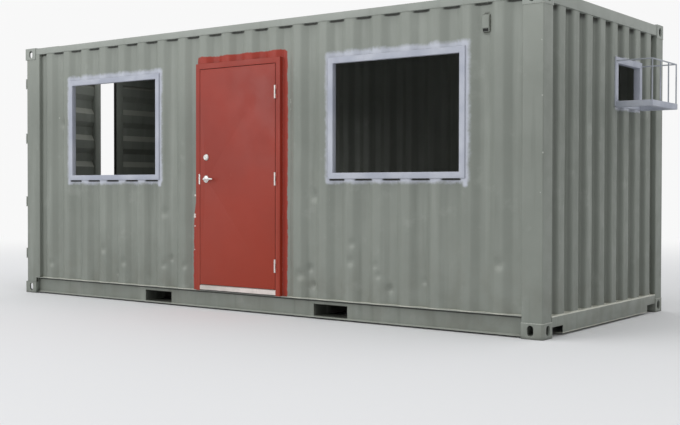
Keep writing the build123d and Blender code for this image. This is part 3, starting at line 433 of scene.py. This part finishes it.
def door_paint(name):
    """Brick red, warmer towards the foot of the door, and painted shadow in the gap under its threshold."""
    paint = Paint(name, 0.45)
    patches = paint.noise(1.8, detail=5.0)
    colour = paint.mix(paint.step(patches, 0.3, 0.75), blended(BRICK, BRICK_DARK, 0.35), BRICK)
    colour = paint.cover(colour, BRICK_WARM, paint.step(paint.z, 1.9, 0.3), 0.6)
    scuffs_and_dent_shades = paint.step(paint.noise(24.0, detail=7.0, roughness=0.7, shift=8.0), 0.68, 0.76)
    colour = paint.cover(colour, SCUFFED_BRICK, scuffs_and_dent_shades, 0.25)
    # Painted shade in the door's corners
    colour = paint.cover(colour, blended(BRICK_DARK, DIRT_AND_SHADE, 0.4), paint.crevice(0.02), 0.6)
    # Painted shadow: black over the door's strip below the threshold
    low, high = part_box("door_threshold")
    below = paint.math("LESS_THAN", paint.z, low[2])
    colour = paint.cover(colour, SHADOW, paint.band(paint.x, low[0], high[0]), below)
    skin = paint.noise(180.0, detail=2.0)
    waves = paint.noise(2.0, detail=1.0, shift=3.0)
    rough = paint.step(paint.noise(5.0, shift=4.0), 0.3, 0.7, 0.38, 0.52)
    return paint.finish(colour, rough, [(waves, 0.003), (skin, 0.0003)], 0.002)


def bare_metal(name, base, roughness):
    """Handled metal with smudges."""
    paint = Paint(name, roughness, metallic=0.85)
    smudge = paint.noise(40.0)
    colour = paint.mix(paint.step(smudge, 0.35, 0.75), blended(base, DIRT_AND_SHADE, 0.15), base)
    rough = paint.step(paint.noise(25.0, shift=4.0), 0.3, 0.7, roughness - 0.08, roughness + 0.12)
    return paint.finish(colour, rough, [(paint.noise(300.0), 0.0001)], 0.0008)


def hinge_metal(name, axis_x, barrel):
    """Bare barrels of a radius about an axis, on tabs that were painted with the door."""
    paint = Paint(name, 0.4)
    off = paint.math("ABSOLUTE", paint.math("SUBTRACT", paint.x, axis_x))
    painted = paint.step(off, barrel, barrel + 0.001)
    colour = paint.mix(painted, BARE_STEEL, BRICK)
    paint.join(paint.step(off, barrel, barrel + 0.001, 0.8, 0.0), paint.shader.inputs["Metallic"])
    return paint.finish(colour, None, [(paint.noise(250.0), 0.0001)], 0.001)


def plywood(name):
    """Worn plywood sheets, stained towards their joints."""
    paint = Paint(name, 0.6)
    grain = paint.noise(6.0, stretch=(0.5, 9.0, 1), detail=8.0)
    colour = paint.mix(paint.step(grain, 0.3, 0.7), blended(PLYWOOD, DIRT_AND_SHADE, 0.5), PLYWOOD)
    stains = paint.step(paint.noise(1.6, detail=6.0, shift=5.0), 0.45, 0.70)
    colour = paint.cover(colour, DIRT_AND_SHADE, stains, 0.5)
    return paint.finish(colour, None, [(grain, 0.0006)], 0.001)


def dress(material, *names):
    """Gives CAD nodes a material."""
    for name in names:
        for slot in NODES[name].material_slots:
            slot.material = material


def islands(name):
    """The points of each separate solid in a CAD node."""
    form = bmesh.new()
    form.from_mesh(NODES[name].data)
    bmesh.ops.remove_doubles(form, verts=form.verts, dist=1e-5)
    left = set(form.verts)
    found = []
    while left:
        group = []
        reached = [left.pop()]
        while reached:
            vertex = reached.pop()
            group.append(vertex.co.copy())
            for edge in vertex.link_edges:
                other = edge.other_vert(vertex)
                if other in left:
                    left.remove(other)
                    reached.append(other)
        found.append(group)
    form.free()
    return sorted(found, key=lambda group: min(tuple(point) for point in group))


def new_piece(name, points, faces, material, body="container", slot="wall_paint", smooth=35, replaced=(),
              dent_shade=None):
    """A mesh piece that rides on a body, with the material it is given."""
    mesh = bpy.data.meshes.new(name)
    mesh.from_pydata([tuple(point) for point in points], [], faces)
    if dent_shade:
        mesh.attributes.new("dent_shade", "FLOAT", "POINT").data.foreach_set("value", dent_shade)
    mesh.validate()
    mesh.materials.append(material)
    if smooth:
        mesh.shade_smooth()
        mesh.set_sharp_from_angle(angle=math.radians(smooth))
    piece = bpy.data.objects.new(name, mesh)
    bpy.context.scene.collection.objects.link(piece)
    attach(piece, body)
    if replaced:
        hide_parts(*replaced)


class Sheet:
    """One corrugated sheet of a wall, read from its CAD solid.

    along is 0 on X and 1 on Y, and facing is 1 or -1, the way its outer face looks."""

    def __init__(self, points, along, facing, dents, seed):
        self.along, self.facing, self.dents, self.seed = along, facing, dents, seed
        self.bottom = min(point.z for point in points)
        self.top = max(point.z for point in points)
        outer = {}
        for point in points:
            place, out = round(point[along], 4), point[1 - along]
            outer[place] = max(outer.get(place, -math.inf), facing * out)
        corners = [Vector((place, facing * out)) for place, out in sorted(outer.items())]
        self.line = divided(rounded(corners), SKIN_STEP)
        self.start, self.end = self.line[0][0], self.line[-1][0]

    def pushed(self, place, height):
        """How far the sheet is pushed in at one place, by its broad waves and dents, and the painted
        shading of its dents there.
        """
        broad = noise.noise(Vector((place * 3.4, self.seed, height * 1.7)))
        small = noise.noise(Vector((place * 8.0, self.seed + 9.0, height * 5.0)))
        depth = WAVE_DEPTH * (0.5 + 0.5 * (broad + 0.6 * small))
        dent_shade = 0.0
        for across, up, radius, deep in self.dents:
            spread = ((place - across) ** 2 + (height - up) ** 2) / radius ** 2
            if spread < 9:
                hollow = math.exp(-spread)
                depth += deep * hollow
                # Painted shading: positive below a dent's middle for a painted highlight, negative above it
                # for painted shade
                dent_shade -= hollow * (height - up) / radius * 2.0
        edge = min(place - self.start, self.end - place, height - self.bottom, self.top - height)
        held = min(1.0, max(0.0, edge / HELD_EDGE))
        return depth * held * held * (3 - 2 * held), dent_shade

    def point(self, place, out, height):
        """A point of the sheet in the frame's axes."""
        return Vector((place, out, height)) if self.along == 0 else Vector((out, place, height))

    def mesh(self):
        """Points and faces of the outer and inner skins with their rim, and the painted dent shading of
        each point.
        """
        step = SKIN_STEP if self.dents else PLAIN_STEP
        rows = max(2, math.ceil((self.top - self.bottom) / step))
        heights = [self.bottom + (self.top - self.bottom) * row / rows for row in range(rows + 1)]
        pushes = [[self.pushed(place, height) for place, out in self.line] for height in heights]
        points, scuffs_and_dent_shades = [], []
        for behind in (0.0, SHEET):
            for height, row in zip(heights, pushes):
                for (place, out), (depth, dent_shade) in zip(self.line, row):
                    points.append(self.point(place, out - self.facing * (depth + behind), height))
                    scuffs_and_dent_shades.append(dent_shade)
        wide, tall = len(self.line), len(heights)
        back = wide * tall
        quads = []
        for row in range(tall - 1):
            for column in range(wide - 1):
                corner = row * wide + column
                quad = (corner, corner + 1, corner + wide + 1, corner + wide)
                quads += [quad, tuple(back + index for index in reversed(quad))]
        rim = list(range(wide))
        rim += [row * wide + wide - 1 for row in range(1, tall)]
        rim += [(tall - 1) * wide + column for column in range(wide - 2, -1, -1)]
        rim += [row * wide for row in range(tall - 2, 0, -1)]
        for first, second in zip(rim, rim[1:] + rim[:1]):
            quads.append((second, first, back + first, back + second))
        if (self.facing > 0) != (self.along == 1):
            quads = [quad[::-1] for quad in quads]
        return points, quads, scuffs_and_dent_shades

    def welds(self):
        """Lines just outside the sheet's lower and upper edges, and up its sides at the wall's ends."""
        lift = self.facing * WELD / 3
        levels = (self.bottom, self.top)
        lines = [[self.point(place, out + lift, height) for place, out in self.line] for height in levels]
        for place, out in (self.line[0], self.line[-1]):
            if abs(place) > WALL_ENDS[self.along]:
                lines.append([self.point(place, out + lift, height) for height in levels])
        return lines


def rounded(corners):
    """A line with its corners turned into short curves."""
    smooth = [corners[0]]
    for before, corner, after in zip(corners, corners[1:], corners[2:]):
        ends = []
        for other in (before, after):
            away = other - corner
            ends.append(corner + away.normalized() * min(BEND_REACH, away.length * 0.45))
        for step in range(BEND_FACES + 1):
            t = step / BEND_FACES
            smooth.append(ends[0] * (1 - t) ** 2 + corner * 2 * t * (1 - t) + ends[1] * t ** 2)
    smooth.append(corners[-1])
    return smooth


def divided(line, step):
    """A line with no stretch longer than a step."""
    result = [line[0]]
    for start, end in zip(line, line[1:]):
        parts = max(1, math.ceil((end - start).length / step))
        result += [start.lerp(end, part / parts) for part in range(1, parts + 1)]
    return result


def bead(lines, radius, pitch=0.010, sides=6):
    """Rippled weld beads along lines of points, as one mesh."""
    vertices, faces = [], []
    for line in lines:
        path = divided(line, pitch)
        start = len(vertices)
        for index, place in enumerate(path):
            before, after = path[max(index - 1, 0)], path[min(index + 1, len(path) - 1)]
            ahead = (after - before).normalized()
            side = ahead.cross(Vector((0, 0, 1)) if abs(ahead.z) < 0.9 else Vector((1, 0, 0))).normalized()
            up = side.cross(ahead)
            size = radius * (0.8 + 0.35 * noise.noise(place * 90.0) + 0.25 * (index % 2))
            for corner in range(sides):
                turn = 2 * math.pi * corner / sides
                vertices.append(place + (side * math.cos(turn) + up * math.sin(turn)) * size)
        for ring in range(len(path) - 1):
            for corner in range(sides):
                first = start + ring * sides + corner
                second = start + ring * sides + (corner + 1) % sides
                faces.append((first, second, second + sides, first + sides))
        last = start + (len(path) - 1) * sides
        faces.append(tuple(start + corner for corner in reversed(range(sides))))
        faces.append(tuple(last + corner for corner in range(sides)))
    return vertices, faces


def joined(parts):
    """The points and faces of several forms as one."""
    points, faces = [], []
    for more_points, more_faces, *_ in parts:
        start = len(points)
        points += more_points
        faces += [tuple(start + index for index in face) for face in more_faces]
    return points, faces


def skin_walls(front, back, end):
    """The pressed wall sheets with round bends, waves, dents and the beads that weld them in."""
    plan = (
        ("front_wall_strips", 0, -1, front, FRONT_DENTS),
        ("front_wall_under_windows", 0, -1, front, FRONT_DENTS),
        ("front_wall_over_openings", 0, -1, front, FRONT_DENTS),
        ("back_wall", 0, 1, back, ()),
        ("end_wall_strips", 1, 1, end, ()),
        ("end_wall_by_cooler", 1, 1, end, ()),
    )
    for seed, (node, along, facing, material, dents) in enumerate(plan):
        sheets = [Sheet(points, along, facing, dents, seed * 3.0) for points in islands(node)]
        meshes = [sheet.mesh() for sheet in sheets]
        scuffs_and_dent_shades = [value for mesh in meshes for value in mesh[2]]
        new_piece(f"{node}_skin", *joined(meshes), material, smooth=50, replaced=(node,), dent_shade=scuffs_and_dent_shades)
        lines = [line for sheet in sheets for line in sheet.welds()]
        new_piece(f"{node}_welds", *bead(lines, WELD), material)


def softened(node, name, width, material, body="container", slot="wall_paint"):
    """A copy of a CAD node with its hard edges rounded, which replaces it."""
    form = bmesh.new()
    form.from_mesh(NODES[node].data)
    bmesh.ops.remove_doubles(form, verts=form.verts, dist=1e-5)
    bmesh.ops.dissolve_limit(form, angle_limit=math.radians(1), verts=form.verts, edges=form.edges)
    hard = [edge for edge in form.edges
            if len(edge.link_faces) == 2 and edge.calc_face_angle(0) > math.radians(HARD_EDGE)]
    bmesh.ops.bevel(form, geom=hard, offset=width, segments=ROUNDING_FACES, profile=0.5, affect="EDGES",
                    clamp_overlap=True)
    bmesh.ops.triangulate(form, faces=[face for face in form.faces if len(face.verts) > 4])
    form.verts.index_update()
    points = [vertex.co.copy() for vertex in form.verts]
    faces = [tuple(vertex.index for vertex in face.verts) for face in form.faces]
    form.free()
    new_piece(name, points, faces, material, body, slot, 40, (node,))


def casting_welds(material):
    """Beads where the plain end posts meet their castings, round the corner of each post."""
    low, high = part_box("end_posts")
    corner = 0.008
    inner = high[1] - (high[0] - low[0]) + 2 * corner
    turns = ((low[0], high[1]), (high[0] - corner, high[1]), (high[0], high[1] - corner), (high[0], inner))
    lines = [[Vector((x, side * y, height)) for x, y in turns]
             for side in (-1, 1) for height in (low[2], high[2])]
    new_piece("casting_welds", *bead(lines, WELD * 1.4), material)


def turned(outline, middle, facing, segments=48):
    """A form turned about Y from (radius, out) pairs, standing out from a point on a face."""
    points, faces = [], []
    for radius, out in outline:
        for step in range(segments):
            turn = 2 * math.pi * step / segments
            points.append(middle + Vector((radius * math.cos(turn), facing * out, radius * math.sin(turn))))
    for ring in range(len(outline) - 1):
        for step in range(segments):
            first = ring * segments + step
            second = ring * segments + (step + 1) % segments
            faces.append((first, second, second + segments, first + segments))
    faces.append(tuple(reversed(range(segments))))
    last = (len(outline) - 1) * segments
    faces.append(tuple(last + step for step in range(segments)))
    if facing > 0:
        faces = [face[::-1] for face in faces]
    return points, faces


def box_form(low, high):
    """The points and faces of a plain box."""
    points = [Vector((x, y, z)) for x in (low[0], high[0])
              for y in (low[1], high[1]) for z in (low[2], high[2])]
    faces = [(0, 1, 3, 2), (4, 6, 7, 5), (0, 4, 5, 1), (2, 3, 7, 6), (0, 2, 6, 4), (1, 5, 7, 3)]
    return points, faces


def lock_furniture(chrome, dark):
    """Rose, keyed deadbolt, thumb turn, strike plate and a rounded lever on both sides of the leaf."""
    leaf_low, leaf_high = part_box("door_leaf")
    set_low, set_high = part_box("door_lockset")
    lever_low, lever_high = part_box("door_lever")
    rose = (set_high[0] - set_low[0]) / 2
    lock_x = (set_low[0] + set_high[0]) / 2
    lever_z = (lever_low[2] + lever_high[2]) / 2
    bolt_z = set_high[2] - 0.030
    outside, inside = leaf_low[1], leaf_high[1]
    parts = []
    for face, facing in ((outside, -1), (inside, 1)):
        outline = ((rose, 0), (rose, 0.004), (rose - 0.002, 0.006), (rose * 0.72, 0.008),
                   (rose * 0.5, 0.010))
        parts.append(turned(outline, Vector((lock_x, face, lever_z)), facing))
    parts.append(turned(DEADBOLT, Vector((lock_x, outside, bolt_z)), -1))
    parts.append(turned(TURN_ROSE, Vector((lock_x, inside, bolt_z)), 1))
    parts.append(box_form((lock_x - 0.004, inside, bolt_z - 0.020),
                          (lock_x + 0.004, inside + 0.026, bolt_z + 0.020)))
    new_piece("lock_trim", *joined(parts), chrome, "personnel_door", "lock_chrome", 30, ("door_lockset",))
    # The keyway is a thin box painted as shadow, standing in for the shaded slot of the key
    keyway = box_form((lock_x - 0.0012, outside - 0.0130, bolt_z - 0.0050),
                      (lock_x + 0.0012, outside - 0.0122, bolt_z + 0.0050))
    new_piece("deadbolt_keyway", *keyway, dark, "personnel_door", "seal_rubber", 0)

    levers = []
    for face, facing, tip in ((outside, -1, lever_low[1]), (inside, 1, lever_high[1])):
        stand = abs(tip - face)
        neck = ((0.0100, 0.0105), (0.0100, stand - 0.010), (0.0095, stand - 0.004),
                (0.0070, stand - 0.0005))
        levers.append(turned(neck, Vector((lock_x, face, lever_z)), facing))
        levers.append(lever_grip(Vector((lock_x, face + facing * (stand - 0.006), lever_z)), lever_high[0]))
    new_piece("lever_handle", *joined(levers), chrome, "lever", "lock_chrome", 40, ("door_lever",))

    strike = box_form((leaf_low[0] - 0.017, outside - 0.0015, lever_z - 0.046),
                      (leaf_low[0] - 0.001, outside, lever_z + 0.046))
    new_piece("strike_lip", *strike, chrome, "container", "lock_chrome", 0)


def lever_grip(start, end_x, sections=24, sides=20):
    """A flat rounded grip that narrows from the neck and rounds off at its free end."""
    points, faces = [], []
    reach = end_x - start.x
    for section in range(sections + 1):
        t = section / sections
        closing = math.sqrt(max(0.0, 1 - max(0.0, (t - 0.93) / 0.07) ** 2)) * min(1.0, 0.55 + t * 9)
        tall, thick = (0.0098 - 0.0025 * t) * closing, 0.0058 * closing
        middle = start + Vector((-0.010 + (reach + 0.010) * t, 0, 0.0015 * math.sin(math.pi * t)))
        for side in range(sides):
            turn = 2 * math.pi * side / sides
            across, up = math.cos(turn), math.sin(turn)
            squared = across / max(abs(across), abs(up)) ** 0.35
            points.append(middle + Vector((0, thick * min(1, max(-1, squared)), tall * up)))
    for section in range(sections):
        for side in range(sides):
            first = section * sides + side
            second = section * sides + (side + 1) % sides
            faces.append((first, second, second + sides, first + sides))
    faces.append(tuple(reversed(range(sides))))
    last = sections * sides
    faces.append(tuple(last + side for side in range(sides)))
    return points, faces


def floor_sheets(material, boards=5, gap=0.003):
    """The plywood floor as sheets with narrow joints."""
    low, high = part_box("floor")
    wide = (high[0] - low[0] + gap) / boards
    starts = [low[0] + wide * index for index in range(boards)]
    parts = [box_form((start, low[1], low[2]), (start + wide - gap, high[1], high[2])) for start in starts]
    new_piece("floor_sheets", *joined(parts), material, "container", "floor_wood", 0, ("floor",))


def threshold_ribs(material, ribs=4):
    """Grip ribs along the threshold's top."""
    low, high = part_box("door_threshold")
    starts = [low[1] + 0.012 + 0.009 * index for index in range(ribs)]
    parts = [box_form((low[0] + 0.002, start, high[2]), (high[0] - 0.002, start + 0.003, high[2] + 0.0015))
             for start in starts]
    new_piece("threshold_ribs", *joined(parts), material, "container", "threshold_alloy", 0)


def vent_hoods(material, dark):
    """Pressed vent hoods with sloping tops, a box painted as shadow in each slot and weld beads above and
    below.
    """
    forms, mouths, beads = [], [], []
    for points in islands("vents"):
        facing = -1 if sum(point.y for point in points) < 0 else 1
        low = Vector(map(min, zip(*points)))
        high = Vector(map(max, zip(*points)))
        front = facing * max(abs(low.y), abs(high.y))
        wall = facing * min(abs(low.y), abs(high.y))
        hood_low, hood_high = low.z + 0.012, high.z - 0.026
        mouth_top = hood_low + 0.030
        profile = (  # height, and the share of the vent's depth that the hood stands out there
            (hood_low, 0.50), (mouth_top - 0.004, 0.54), (mouth_top, 0.66), (hood_high - 0.026, 0.66),
            (hood_high - 0.008, 0.50), (hood_high, 0.10),
        )
        rows = []
        for height, share in profile:
            out = (front - wall) * share
            section = ((low.x, 0), (low.x + 0.001, out * 0.85), (low.x + 0.006, out),
                       (high.x - 0.018, out), (high.x - 0.013, out * 0.85), (high.x - 0.012, 0))
            rows.append([Vector((x, wall + y, height)) for x, y in section])
        wide = len(rows[0])
        faces = []
        for row in range(len(rows) - 1):
            for column in range(wide - 1):
                first, above = row * wide + column, (row + 1) * wide + column
                faces.append((first, first + 1, above + 1, above))
        faces.append(tuple(reversed(range(wide))))
        faces.append(tuple((len(rows) - 1) * wide + column for column in range(wide)))
        if facing > 0:
            faces = [face[::-1] for face in faces]
        forms.append(([point for row in rows for point in row], faces))
        # Each slot is a box painted as shadow, standing in for the shaded inside of the vent
        slot_front = wall + (front - wall) * 0.54 + facing * 0.0015
        mouths.append(box_form((low.x + 0.008, min(wall, slot_front), hood_low + 0.003),
                               (high.x - 0.020, max(wall, slot_front), mouth_top - 0.006)))
        lip = wall + facing * 0.003
        below = ((low.x + 0.002, low.z + 0.004), (high.x - 0.010, low.z - 0.001), (high.x, low.z + 0.006))
        above = ((low.x + 0.012, hood_high + 0.010), (high.x - 0.026, hood_high + 0.010))
        beads += [[Vector((x, lip, z)) for x, z in line] for line in (below, above)]
    new_piece("vent_hoods", *joined(forms), material, smooth=40, replaced=("vents",))
    new_piece("vent_slots", *joined(mouths), dark, "container", "seal_rubber", 0)
    new_piece("vent_beads", *bead(beads, WELD * 1.3), material)


def roof_seams(material):
    """Weld beads across the roof where its sheets meet, and along the side rails."""
    low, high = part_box("roof")
    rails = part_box("top_side_rails")
    lines = []
    for index in (-2, -1, 0, 1, 2):
        x = ROOF_PITCH * (5 * index + (0.5 if index < 0 else -0.5))
        lines.append([Vector((x, y, high[2] - 0.001)) for y in (low[1] + 0.002, high[1] - 0.002)])
    for side in (low[1], high[1]):
        lines.append([Vector((x, side, high[2] - 0.002)) for x in (rails[0][0], rails[1][0])])
    new_piece("roof_seams", *bead(lines, WELD), material)


def front_sprays():
    """The primer mist round both windows and the red round the door, measured from their frames."""
    sprays = []
    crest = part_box("front_wall_strips")[0][1]
    low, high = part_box("window_frames")
    width = window_frame_width()
    for left, right in ((low[0], low[0] + width), (high[0] - width, high[0])):
        for corner, run in ((left, 0.030), (right, 0.050)):
            sprays.append(Spray("x", (corner - 0.008, low[2] - run), (corner + 0.008, low[2]),
                                reach=0.013, soft=0.013, wobble=0.026, colour=PRIMER))
        sprays.append(Spray("x", (left, low[2] - 0.004), (right, high[2] + 0.014), reach=0.030,
                            soft=0.022, wobble=0.046, colour=PRIMER, gap=(crest + 0.003, crest + 0.015)))
    low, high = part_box("door_frame")
    sprays.append(Spray("x", (low[0] + 0.020, low[2]), (high[0] + 0.020, high[2] + 0.034),
                        reach=0.030, soft=0.005, wobble=0.024, colour=BRICK, lean=0.060))
    return sprays


def cooler_spray():
    """The primer mist round the cooler's frame."""
    low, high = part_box("cooler_frame")
    return Spray("y", (low[1] + 0.020, low[2] - 0.012), (high[1], high[2]),
                 reach=0.010, soft=0.012, wobble=0.040, colour=PRIMER)


def window_frame_width():
    """Both window frames share one node, so one frame's width is measured from its vertices."""
    left = [vertex.co.x for vertex in NODES["window_frames"].data.vertices if vertex.co.x < 0]
    return max(left) - min(left)


def dress_walls():
    """The wall sheets, the welds of the sheets and end posts, and the vents."""
    low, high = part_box("front_wall_strips")
    crest = low[1]
    # Front wall: a painted highlight along its lower edge and painted shadow in its valleys under the top
    # rail
    front = steel_paint("front_paint", front_sprays(), rounding=0.001,
                        marks=((CHIPPED, DOOR_CHIPS), (PALE_HIGHLIGHT_AND_SCRAPE, WALL_SCRAPES)),
                        bands=((low[2] - 0.01, low[2] + 0.005, BRIGHT_LIP_HIGHLIGHT, 0.8),),
                        gap=(high[2] - 0.018, high[2] + 0.01, 0.003, "y", crest + 0.009, crest + 0.021))
    low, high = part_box("end_wall_strips")
    crest = high[0]
    # End wall: painted shade in its valleys, a painted highlight along its lower edge and painted shadow in
    # its valleys under the header
    end = steel_paint("end_paint", [cooler_spray()], rounding=0.001, base=END_WALL_SHADED_SAGE,
                      valley=("x", crest - 0.006, crest - 0.036, 0.25),
                      bands=((low[2] - 0.01, low[2] + 0.005, BRIGHT_LIP_HIGHLIGHT, 0.8),),
                      gap=(high[2] - 0.035, high[2] + 0.03, 0.022, "x", crest - 0.008, crest - 0.030))
    back = steel_paint("back_wall_paint", rounding=0.001)
    skin_walls(front, back, end)
    casting_welds(steel_paint("weld_paint", base=PALE_HIGHLIGHT_AND_SCRAPE))
    vent_hoods(front, even_paint("vent_slot_shadow", SHADOW, 0.8))


def dress_frame(steel):
    """Castings, posts, rails, sills and headers, with painted highlights and painted shadows along their
    edges.
    """
    posts = steel_paint("post_paint", marks=((PALE_HIGHLIGHT_AND_SCRAPE, POST_SCRAPES),))
    # Painted shadow filling the castings' holes and hollows
    hollow = (0.06, 0.95, SHADOW)
    lower_castings = steel_paint("lower_casting_paint", corner_shade=hollow)
    # The upper castings take sage lightened as a painted highlight
    upper_castings = steel_paint("upper_casting_paint", base=UPPER_HIGHLIGHT_SAGE, corner_shade=hollow)
    # Fork pockets: sage darkened as painted shade
    under = steel_paint("pocket_paint", base=SHADED_UNDERSIDE)
    low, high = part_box("bottom_side_rails")
    # Painted shadow under the wall's lip, and painted highlights along the rail's upper and lower edges
    rail = steel_paint("rail_paint", bands=(
        (high[2] - 0.022, high[2] - 0.007, SHADOW, 0.85), (high[2] - 0.005, high[2] + 0.01, PALE_HIGHLIGHT_AND_SCRAPE, 0.6),
        (low[2] - 0.01, low[2] + 0.010, PALE_HIGHLIGHT_AND_SCRAPE, 0.6)))
    low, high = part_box("end_sill")
    # Painted highlights along the sill's upper and lower edges
    sill = steel_paint("sill_paint", bands=(
        (high[2] - 0.008, high[2] + 0.01, BRIGHT_LIP_HIGHLIGHT, 0.9),
        (low[2] - 0.01, low[2] + 0.008, BRIGHT_LIP_HIGHLIGHT, 0.6)))
    # Top rails and end header: sage lightened as a painted highlight
    upper = steel_paint("upper_paint", base=UPPER_HIGHLIGHT_SAGE)
    rounded_nodes = (
        ("bottom_corner_castings", 0.004, lower_castings), ("top_corner_castings", 0.004, upper_castings),
        ("end_posts", 0.002, posts), ("door_end_posts", 0.003, steel),
        ("bottom_side_rails", 0.0015, rail), ("top_side_rails", 0.004, upper),
        ("end_sill", 0.002, sill), ("end_header", 0.004, upper),
        ("door_end_header", 0.003, steel), ("door_end_sill", 0.002, steel),
        ("fork_pockets", 0.002, under), ("cargo_keepers", 0.002, steel), ("cargo_hinge_lugs", 0.002, steel),
    )
    for node, width, material in rounded_nodes:
        softened(node, f"{node}_form", width, material)
    dress(steel, "cross_members", "roof", "roof_doublers")


def dress_cargo_doors(steel):
    """Both cargo doors, with a painted highlight where their leaves face up."""
    leaves = steel_paint("leaf_paint", upward_highlight=0.30)
    rubber = plain_paint("seal_rubber", RUBBER, RUBBER, 0.7, corner_shade_share=0.1)
    for leaf in ("cargo_door_front", "cargo_door_back"):
        dress(leaves, f"{leaf}_panel")
        dress(rubber, f"{leaf}_gasket")
        softened(f"{leaf}_frame", f"{leaf}_tubes", 0.004, steel, leaf)
        softened(f"{leaf}_hinges", f"{leaf}_blades", 0.002, steel, leaf)
        softened(f"{leaf}_lock_rods", f"{leaf}_lock_gear", 0.0015, steel, leaf, "rod_steel")


def dress_openings():
    """The primed window frames, and the cooler's frame, shelf and cage."""
    primer = plain_paint("primer_paint", PRIMER, PRIMER_SHADE, 0.6, corner_shade_share=0.2, rounding=0.001)
    for node, name in (("window_frames", "window_tubes"), ("cooler_frame", "cooler_tubes"),
                       ("cooler_shelf", "shelf_tubes")):
        softened(node, name, 0.004, primer, slot="primer")
    cage = plain_paint("cage_paint", PRIMER, blended(PRIMER_SHADE, SAGE, 0.3), 0.6, corner_shade_share=0.1)
    softened("cooler_cage", "cage_bars", 0.002, cage, slot="primer")


def dress_door():
    """The personnel door with its frame, hinges, lock and threshold."""
    red = door_paint("door_paint")
    softened("door_frame", "door_frame_tubes", 0.0025, red, slot="door_paint")
    softened("door_leaf", "door_leaf_form", 0.0015, red, "personnel_door", "door_paint")
    low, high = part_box("door_hinge_frame_knuckles")
    hinges = hinge_metal("hinge_steel", low[0] + 0.007, 0.0075)
    dress(hinges, "door_hinge_frame_knuckles", "door_hinge_leaf_knuckles")
    lock_furniture(bare_metal("lock_chrome", CHROME, 0.25), even_paint("keyway_painted_shade", KEYWAY_SHADE, 0.6))
    low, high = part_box("door_threshold")
    # Painted shadow along the threshold's foot
    alloy = steel_paint("threshold_alloy", base=THRESHOLD,
                        bands=((low[2] - 0.01, low[2] + 0.004, SHADOW, 0.9),))
    dress(alloy, "door_threshold")
    threshold_ribs(alloy)


def make_camera():
    """The photograph's camera, with its optical centre as a small shift."""
    data = bpy.data.cameras.new("photo_camera")
    data.sensor_width = SENSOR_MM
    data.lens = SENSOR_MM * FOCAL_PIXELS / FRAME_PIXELS[0]
    data.shift_x = (FRAME_PIXELS[0] / 2 - OPTICAL_CENTRE[0]) / FRAME_PIXELS[0]
    data.shift_y = (OPTICAL_CENTRE[1] - FRAME_PIXELS[1] / 2) / FRAME_PIXELS[0]
    data.clip_end = 200
    camera = bpy.data.objects.new("photo_camera", data)
    turn = Matrix.Rotation(math.radians(CAMERA_YAW), 4, "Z")
    tilt = Matrix.Rotation(math.radians(90 + CAMERA_PITCH), 4, "X")
    roll = Matrix.Rotation(math.radians(CAMERA_ROLL), 4, "Z")
    camera.matrix_world = Matrix.Translation(CAMERA_PLACE) @ turn @ tilt @ roll
    bpy.context.scene.collection.objects.link(camera)
    bpy.context.scene.camera = camera


def make_lamp(name, place, target, size, watts):
    """A square lamp at a place, turned to a target."""
    data = bpy.data.lights.new(name, "AREA")
    data.shape = "SQUARE"
    data.size = size
    data.energy = watts
    lamp = bpy.data.objects.new(name, data)
    lamp.location = place
    lamp.rotation_euler = (Vector(target) - Vector(place)).to_track_quat("-Z", "Y").to_euler()
    bpy.context.scene.collection.objects.link(lamp)


def make_world():
    """Even soft light all round, seen as a white backdrop by the camera and in reflections."""
    world = bpy.data.worlds.new("studio")
    world.use_nodes = True
    bpy.context.scene.world = world
    tree = world.node_tree
    background = tree.nodes["Background"]
    background.inputs["Color"].default_value = (1.0, 1.0, 1.0, 1.0)
    path = tree.nodes.new("ShaderNodeLightPath")
    seen = path.outputs["Is Camera Ray"]
    for ray in ("Is Glossy Ray", "Is Transmission Ray"):
        either = tree.nodes.new("ShaderNodeMath")
        either.operation = "MAXIMUM"
        tree.links.new(seen, either.inputs[0])
        tree.links.new(path.outputs[ray], either.inputs[1])
        seen = either.outputs[0]
    strength = tree.nodes.new("ShaderNodeMapRange")
    strength.inputs["To Min"].default_value = WORLD_LIGHT
    strength.inputs["To Max"].default_value = BACKDROP
    tree.links.new(seen, strength.inputs["Value"])
    tree.links.new(strength.outputs[0], background.inputs["Strength"])


def make_floor(reach=60.0, near=4.5, far=15.0):
    """A pale floor that keeps the object's shadow and runs out into the white backdrop."""
    mesh = bpy.data.meshes.new("studio_floor")
    corners = [(-reach, -reach, 0), (reach, -reach, 0), (reach, reach, 0), (-reach, reach, 0)]
    mesh.from_pydata(corners, [], [(0, 1, 2, 3)])
    floor = bpy.data.objects.new("studio_floor", mesh)
    bpy.context.scene.collection.objects.link(floor)
    paint = Paint("studio_floor", 0.9)
    paint.shader.inputs["Base Color"].default_value = linear(FLOOR)
    glow = paint.node("ShaderNodeEmission")
    glow.inputs["Color"].default_value = (1.0, 1.0, 1.0, 1.0)
    glow.inputs["Strength"].default_value = BACKDROP
    squares = [paint.product(axis, axis) for axis in (paint.x, paint.y)]
    away = paint.step(paint.math("SQRT", paint.math("ADD", *squares)), near, far)
    seen = paint.product(away, paint.node("ShaderNodeLightPath").outputs["Is Camera Ray"])
    blend = paint.node("ShaderNodeMixShader")
    paint.join(seen, blend.inputs[0])
    paint.join(paint.shader.outputs[0], blend.inputs[1])
    paint.join(glow.outputs[0], blend.inputs[2])
    paint.join(blend.outputs[0], paint.tree.nodes["Material Output"].inputs["Surface"])
    mesh.materials.append(paint.material)


make_camera()
make_world()
make_floor()
for lamp in LAMPS:
    make_lamp(*lamp)
steel = steel_paint("frame_paint")
dress_walls()
dress_frame(steel)
dress_cargo_doors(steel)
roof_seams(steel)
dress_openings()
dress_door()
floor_sheets(plywood("floor_plywood"))
bpy.context.scene.view_settings.view_transform = "Standard"
